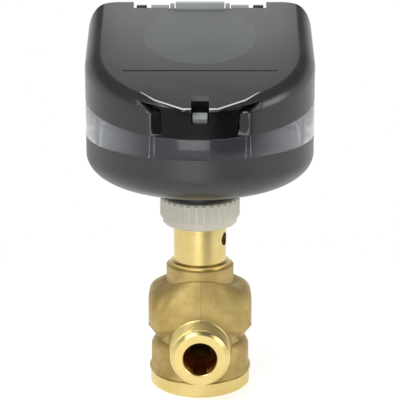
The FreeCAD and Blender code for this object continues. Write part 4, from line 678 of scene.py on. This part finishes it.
def lip_skirt():
    """The black face that closes the recess right under the lip."""
    shape = bmesh.new()
    rings = []
    for x in (-RECESS_HALF, -16, -12, -LIP_CORNER, LIP_CORNER, 12, 16, RECESS_HALF):
        front = lip_edge_at(x) + 0.35
        back = front + 2.4
        sunk = LIP_WALL - 0.3
        rings.append([shape.verts.new((x * MM, y * MM, z * MM)) for y, z in (
            (front, RECESS_TOP), (front, top_at(front) - sunk), (back, top_at(back) - sunk),
            (back, RECESS_TOP))])
    for first, second in zip(rings, rings[1:]):
        for step in range(4):
            shape.faces.new((first[step], first[step - 1], second[step - 1], second[step]))
    shape.faces.new(rings[0])
    shape.faces.new(rings[-1][::-1])
    return shape


# The pockets at the lip's ends: where they start, how deep below the top they lie, and how wide a step is
POCKET_START, POCKET_DEEP, POCKET_STEP, POCKET_STEPS = 20.72, 4.25, 0.86, 5
ROUNDING, ROUNDING_DROP, ROUNDING_MIDDLE = 5.8, 5.4, 44.2


def pocket_fill(side):
    """Closes the pocket's outer end with the cover's own rounded skin, down to nothing at the facet."""
    shape = bmesh.new()
    rings = []
    for step in range(POCKET_STEPS + 1):
        x = POCKET_START + POCKET_STEP * step
        depth = LIP_WALL + 2.65 * (POCKET_STEPS - step) / POCKET_STEPS
        outer, inner = [], []
        for row in range(5):
            drop = depth + (POCKET_DEEP - depth) * row / 4
            radius = ROUNDING_MIDDLE + (ROUNDING ** 2 - (ROUNDING_DROP - drop) ** 2) ** 0.5
            skin = -(radius ** 2 - x ** 2) ** 0.5
            for y, ring in ((skin, outer), (skin + 2.9, inner)):
                ring.append(shape.verts.new((x * MM, y * MM, (top_at(y) - drop) * MM)))
        rings.append(outer + inner[::-1])
    for first, second in zip(rings, rings[1:]):
        for step in range(10):
            shape.faces.new((first[step], first[step - 1], second[step - 1], second[step]))
    bmesh.ops.contextual_create(shape, geom=rings[0])
    bmesh.ops.contextual_create(shape, geom=rings[-1])
    bmesh.ops.remove_doubles(shape, verts=shape.verts, dist=0.00001)
    bmesh.ops.scale(shape, vec=(side, 1, 1), verts=shape.verts)
    return shape


def lip_room():
    """What is cut away under the lip: all in front of its black face, up to its underside."""
    shape = bmesh.new()
    corners = [(x, lip_edge_at(x) + 0.8)
               for x in (-RECESS_HALF, -16, -LIP_CORNER, LIP_CORNER, 16, RECESS_HALF)]
    corners += [(RECESS_HALF, -50.3), (-RECESS_HALF, -50.3)]
    floor = shape.faces.new([shape.verts.new((x * MM, y * MM, RECESS_TOP * MM)) for x, y in corners])
    grown = bmesh.ops.extrude_face_region(shape, geom=[floor])["geom"]
    for corner in (part for part in grown if isinstance(part, bmesh.types.BMVert)):
        corner.co.z = (top_at(corner.co.y / MM) - LIP_WALL + 0.05) * MM
    bmesh.ops.recalc_face_normals(shape, faces=shape.faces)
    return shape


def hold_top(made):
    """Keeps the top's flat plane from sharing its shading with the rounding round it."""
    shape = bmesh.new()
    shape.from_mesh(made.data)
    for edge in shape.edges:
        flat = [all(abs(top_at(corner.co.y / MM) - corner.co.z / MM) < 0.02 for corner in face.verts)
                for face in edge.link_faces]
        if any(flat) and not all(flat):
            edge.smooth = False
    shape.to_mesh(made.data)
    shape.free()


cover = carved(copy_of("cover"), lip_room())
made = piece("cover_shell", cover, COVER, "cover", 24)
hold_top(made)
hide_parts("cover")

# A flush disc fills the round pad's shallow step, so that only its tone shows
disc = bmesh.new()
bmesh.ops.create_cone(
    disc, cap_ends=True, segments=128, radius1=PAD_REACH * MM, radius2=PAD_REACH * MM, depth=0.4 * MM)
bmesh.ops.translate(disc, vec=(0, 0, -0.188 * MM), verts=disc.verts)
placed(disc, degrees(atan(TOP_RISE)), "X", (0, PAD_PLACE, top_at(PAD_PLACE)))
bmesh.ops.bisect_plane(
    disc, geom=disc.verts[:] + disc.edges[:] + disc.faces[:], plane_co=(0, PAD_REAR * MM, 0),
    plane_no=(0, 1, 0), clear_outer=True)
bmesh.ops.holes_fill(disc, edges=[edge for edge in disc.edges if edge.is_boundary])
piece("cover_pad", disc, COVER, "cover")

release_slot = brick((7.4, 8, 8), (0, -49, 138))
piece("lip_skirt", carved(lip_skirt(), release_slot), GLOSS, "cover")
piece("recess_corners", together([pocket_fill(1), pocket_fill(-1)]), DARK, "cover", 50)

# The lip's rounded edge: a thin pale bead along its front, broken by the release slot; its pale colour is a
# painted highlight
LIP_LINE = [(3.7, -50.0), (7.4, -50.0), (18.9, -43.0), (24.9, -37.0)]


def lip_highlight_bead(side):
    """One half of the painted highlight bead, swept round the lip's front corners."""
    radius, inset = 0.3, 0.2
    rings = []
    shape = bmesh.new()
    for place, (x, y) in enumerate(LIP_LINE):
        before = Vector(LIP_LINE[max(place - 1, 0)])
        after = Vector(LIP_LINE[min(place + 1, len(LIP_LINE) - 1)])
        run = (after - before).normalized()
        outward = Vector((-run.y, run.x)) * (-1 if run.x > 0 else 1)
        made = bmesh.ops.create_circle(shape, segments=12, radius=radius * MM, cap_ends=False)["verts"]
        turn = Matrix(((outward.x, 0, run.x), (outward.y, 0, run.y), (0, 1, 0)))
        middle = Vector((x - outward.x * inset, y - outward.y * inset, top_at(y) - inset)) * MM
        bmesh.ops.transform(shape, matrix=turn.to_4x4(), verts=made)
        bmesh.ops.translate(shape, vec=middle, verts=made)
        rings.append(made)
    for first, second in zip(rings, rings[1:]):
        edges = [edge for ring in (first, second) for corner in ring for edge in corner.link_edges
                 if all(end in ring for end in edge.verts)]
        bmesh.ops.bridge_loops(shape, edges=list(dict.fromkeys(edges)))
    bmesh.ops.holes_fill(shape, edges=[edge for edge in shape.edges if edge.is_boundary])
    bmesh.ops.scale(shape, vec=(side, 1, 1), verts=shape.verts)
    return shape


# The pale bead is a painted highlight along the lip's edge, not a pale part of the cover
piece("lip_edge", together([lip_highlight_bead(1), lip_highlight_bead(-1)]), LIP_HIGHLIGHT, "cover", 40)

# Screw heads with their driver slots, cut into the frame's own heads
DRIVEN = {
    "plate_screws": ((22.63, -22.63, 122.71), (22.63, 22.63, 122.71), (-18.35, -26.21, 122.71)),
    "board_screws": ((-28, -19, 143.09), (28, -19, 143.09), (-22, 22, 143.09), (31, 10, 143.09)),
    "terminal_screws": tuple((-12.5 + 5 * place, 24.6, 150.05) for place in range(6)),
}
CROSS, SLOT = ((2.6, 0.5, 1.4), (0.5, 2.6, 1.4)), ((4.0, 0.6, 1.4),)
for node, tops in DRIVEN.items():
    cuts = []
    for place, top in enumerate(tops):
        for arm in SLOT if node == "terminal_screws" else CROSS:
            cutter = brick(arm, (0, 0, 0))
            placed(cutter, 23 + 31 * place, "Z", top)
            cuts.append(cutter)
    heads = copy_of(node)
    for cutter in cuts:
        heads = carved(heads, cutter)
    made = piece(f"slotted_{node}", heads, STEEL, "base")
    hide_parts(node)

# Components on the circuit board
LEGS = [(side, step) for side in range(4) for step in range(11)]
chip = [brick((9, 9, 1.3), (-3, -7, BOARD_TOP + 0.85), 0.15),
        brick((5, 4, 1.4), (16, -13, BOARD_TOP + 0.8), 0.12),
        brick((4.4, 3.6, 1.2), (-12, 6, BOARD_TOP + 0.7), 0.12)]
piece("chips", together(chip), RELAY_BLACK, "base")
legs = []
for side, step in LEGS:
    leg = brick((0.35, 1.3, 0.18), (-4 + step * 0.8, -5.05, 0.25))
    placed(leg, 90 * side, "Z", (-3, -7, BOARD_TOP))
    legs.append(leg)
for x, y in ((16, -13), (-12, 6)):
    for row in (-1, 1):
        for step in range(4):
            legs.append(brick((0.42, 1.0, 0.18), (x - 1.9 + step * 1.27, y + row * 2.4, BOARD_TOP + 0.2)))
piece("chip_legs", together(legs), STEEL, "base")
CHIP_PARTS = [(-15 + 3.1 * (step % 7), -17.5 + 2.6 * (step // 7)) for step in range(14)]
CHIP_PARTS += [(8 + 2.7 * (step % 6), 10.5 + 2.4 * (step // 6)) for step in range(12)]
bodies, ends = [], []
for x, y in CHIP_PARTS:
    bodies.append(brick((1.3, 1.0, 0.5), (x, y, BOARD_TOP + 0.27), 0.05))
    for side in (-0.85, 0.85):
        ends.append(brick((0.4, 1.04, 0.54), (x + side, y, BOARD_TOP + 0.28), 0.05))
piece("resistors", together(bodies), RELAY_BLACK, "base")
piece("resistor_ends", together(ends), STEEL, "base")
CANS = ((25.0, -12.5, 2.5, 4.6), (-30.0, 3.0, 3.1, 5.6), (-30.0, 10.5, 2.5, 4.6))
cans = [peg([(0, 0.1), (radius - 0.25, 0.1), (radius, 0.35), (radius, 1.0), (radius - 0.22, 1.25),
             (radius, 1.5), (radius, height - 0.3), (radius - 0.3, height), (0, height)],
            (x, y, BOARD_TOP), 32) for x, y, radius, height in CANS]
piece("capacitor_cans", together(cans), STEEL, "base", 50)
sleeves = [peg([(radius + 0.08, 1.6), (radius + 0.16, 1.7), (radius + 0.16, height - 0.5),
                (radius - 0.5, height + 0.02), (radius - 0.5, height - 0.1), (radius + 0.08, height - 0.6)],
               (x, y, BOARD_TOP), 32) for x, y, radius, height in CANS]
piece("capacitor_sleeves", together(sleeves), RELAY_BLACK, "base", 50)
crystal = brick((10.4, 4.2, 3.4), (-15, -4, BOARD_TOP + 1.9), 1.2)
piece("crystal_can", crystal, STEEL, "base", 60)
lights = [brick((1.6, 1.0, 0.7), (x, -20.8, BOARD_TOP + 0.4), 0.15) for x in (-19, 0, 19)]
piece("indicator_lights", together(lights), NATURAL, "base")

# The motor's end cap and the two tabs that stand in the board
cap = peg([(0, 0), (9.5, 0), (9.5, 0.5), (4.2, 0.5), (4.0, 1.6), (3.2, 2.0), (0, 2.0)],
          (MOTOR_X, MOTOR_Y, MOTOR_TOP), 48)
piece("motor_end_cap", cap, MOTOR_STEEL, "base", 40)
tabs = [brick((2.0, 0.5, 7.2), (MOTOR_X + side, MOTOR_Y - 6.5, MOTOR_TOP + 3.4), 0.08) for side in (-4, 4)]
piece("motor_tabs", together(tabs), STEEL, "base")
beads = [peg([(0, 0), (1.7, 0), (1.3, 0.5), (0.7, 0.95), (0, 1.1)],
             (MOTOR_X + side, MOTOR_Y - 6.5, BOARD_TOP), 20) for side in (-4, 4)]
piece("tab_solder", together(beads), STEEL, "base", 60)


def surroundings():
    """A white surround, which gloss sees as a studio: bright low down, dark overhead and in front."""
    world = bpy.data.worlds.new("surroundings")
    world.use_nodes = True
    tree = world.node_tree
    lit = tree.nodes["Background"]
    lit.inputs["Color"].default_value = (1, 1, 1, 1)
    lit.inputs["Strength"].default_value = WORLD_LIGHT
    seen = put(tree, "ShaderNodeBackground", Color=(1, 1, 1, 1), Strength=1.0)
    way = put(tree, "ShaderNodeTexCoord").outputs["Generated"]
    high = put(tree, "ShaderNodeSeparateXYZ", _0=way).outputs["Z"]
    overhead = put(tree, "ShaderNodeMapRange", {"interpolation_type": "SMOOTHSTEP"},
                   _0=high, _1=0.2, _2=0.65, _3=1.0, _4=0.12)
    ahead = put(tree, "ShaderNodeVectorMath", {"operation": "DOT_PRODUCT"}, _0=way, _1=(0.5, -0.866, 0.0))
    front = put(tree, "ShaderNodeMapRange", {"interpolation_type": "SMOOTHSTEP"},
                _0=ahead.outputs["Value"], _1=0.84, _2=0.96, _3=1.0, _4=0.12)
    shade = sums(tree, "MULTIPLY", overhead.outputs[0], front.outputs[0])
    studio = put(tree, "ShaderNodeBackground", Color=(1, 1, 1, 1), Strength=shade)
    rays = put(tree, "ShaderNodeLightPath")
    shown = sums(tree, "MAXIMUM", rays.outputs["Is Camera Ray"], rays.outputs["Is Transmission Ray"])
    gloss = put(tree, "ShaderNodeMixShader", _0=rays.outputs["Is Glossy Ray"], _1=lit.outputs[0],
                _2=studio.outputs[0])
    both = put(tree, "ShaderNodeMixShader", _0=shown, _1=gloss.outputs[0], _2=seen.outputs[0])
    tree.links.new(both.outputs[0], tree.nodes["World Output"].inputs["Surface"])
    bpy.context.scene.world = world


def pale_floor():
    """A round pale table: white where nothing shades it, and it keeps the object's shadow."""
    material = bpy.data.materials.new("pale_floor")
    material.use_nodes = True
    tree = material.node_tree
    shader = tree.nodes["Principled BSDF"]
    shader.inputs["Base Color"].default_value = (0.8, 0.8, 0.8, 1)
    shader.inputs["Roughness"].default_value = 0.9
    rays = put(tree, "ShaderNodeLightPath")
    glossy = sums(tree, "MAXIMUM", rays.outputs["Is Glossy Ray"], rays.outputs["Is Transmission Ray"])
    shown = sums(tree, "MAXIMUM", rays.outputs["Is Camera Ray"], glossy)
    glow = sums(tree, "MULTIPLY", shown, FLOOR_GLOW)
    shader.inputs["Emission Color"].default_value = (1, 1, 1, 1)
    tree.links.new(glow, shader.inputs["Emission Strength"])
    shape = bmesh.new()
    bmesh.ops.create_circle(shape, cap_ends=True, segments=96, radius=FLOOR_RADIUS)
    bmesh.ops.translate(shape, vec=(0, 0, -0.0002), verts=shape.verts)
    mesh = bpy.data.meshes.new("pale_floor")
    shape.to_mesh(mesh)
    shape.free()
    mesh.materials.append(material)
    made = bpy.data.objects.new("pale_floor", mesh)
    bpy.context.scene.collection.objects.link(made)


def softbox(name, place, aim, size, power):
    """A square soft lamp that looks at a point."""
    lamp = bpy.data.lights.new(name, "AREA")
    lamp.size = size
    lamp.energy = power
    made = bpy.data.objects.new(name, lamp)
    made.location = place
    made.rotation_euler = (Vector(aim) - Vector(place)).to_track_quat("-Z", "Y").to_euler()
    bpy.context.scene.collection.objects.link(made)


def camera():
    """The photograph's view: 16.4 degrees down, 800 mm from the stem's middle."""
    lens = bpy.data.cameras.new("camera")
    lens.lens = 162
    lens.clip_start = 0.05
    lens.clip_end = 20
    made = bpy.data.objects.new("camera", lens)
    down = radians(16.4)
    aim = Vector((0, 0, 0.0857))
    made.location = aim + 0.8 * Vector((0, -cos(down), sin(down)))
    made.rotation_euler = (aim - made.location).to_track_quat("-Z", "Y").to_euler()
    bpy.context.scene.collection.objects.link(made)
    bpy.context.scene.camera = made


WORLD_LIGHT, FLOOR_GLOW, FLOOR_RADIUS = 0.5, 0.5, 0.2
surroundings()
pale_floor()
softbox("key_lamp", (-0.55, -0.75, 1.1), (0, 0, 0.1), 0.6, 8.0)
softbox("side_lamp", (0.9, -0.3, 0.6), (0, 0, 0.09), 0.5, 3.0)
softbox("back_lamp", (0, 0.19, 0.275), (0, 0.03, 0.16), 0.12, 0.075)
softbox("front_lamp", (-0.1, -0.95, 0.12), (0, 0, 0.07), 0.5, 2.0)
camera()
bpy.context.scene.view_settings.view_transform = "Standard"
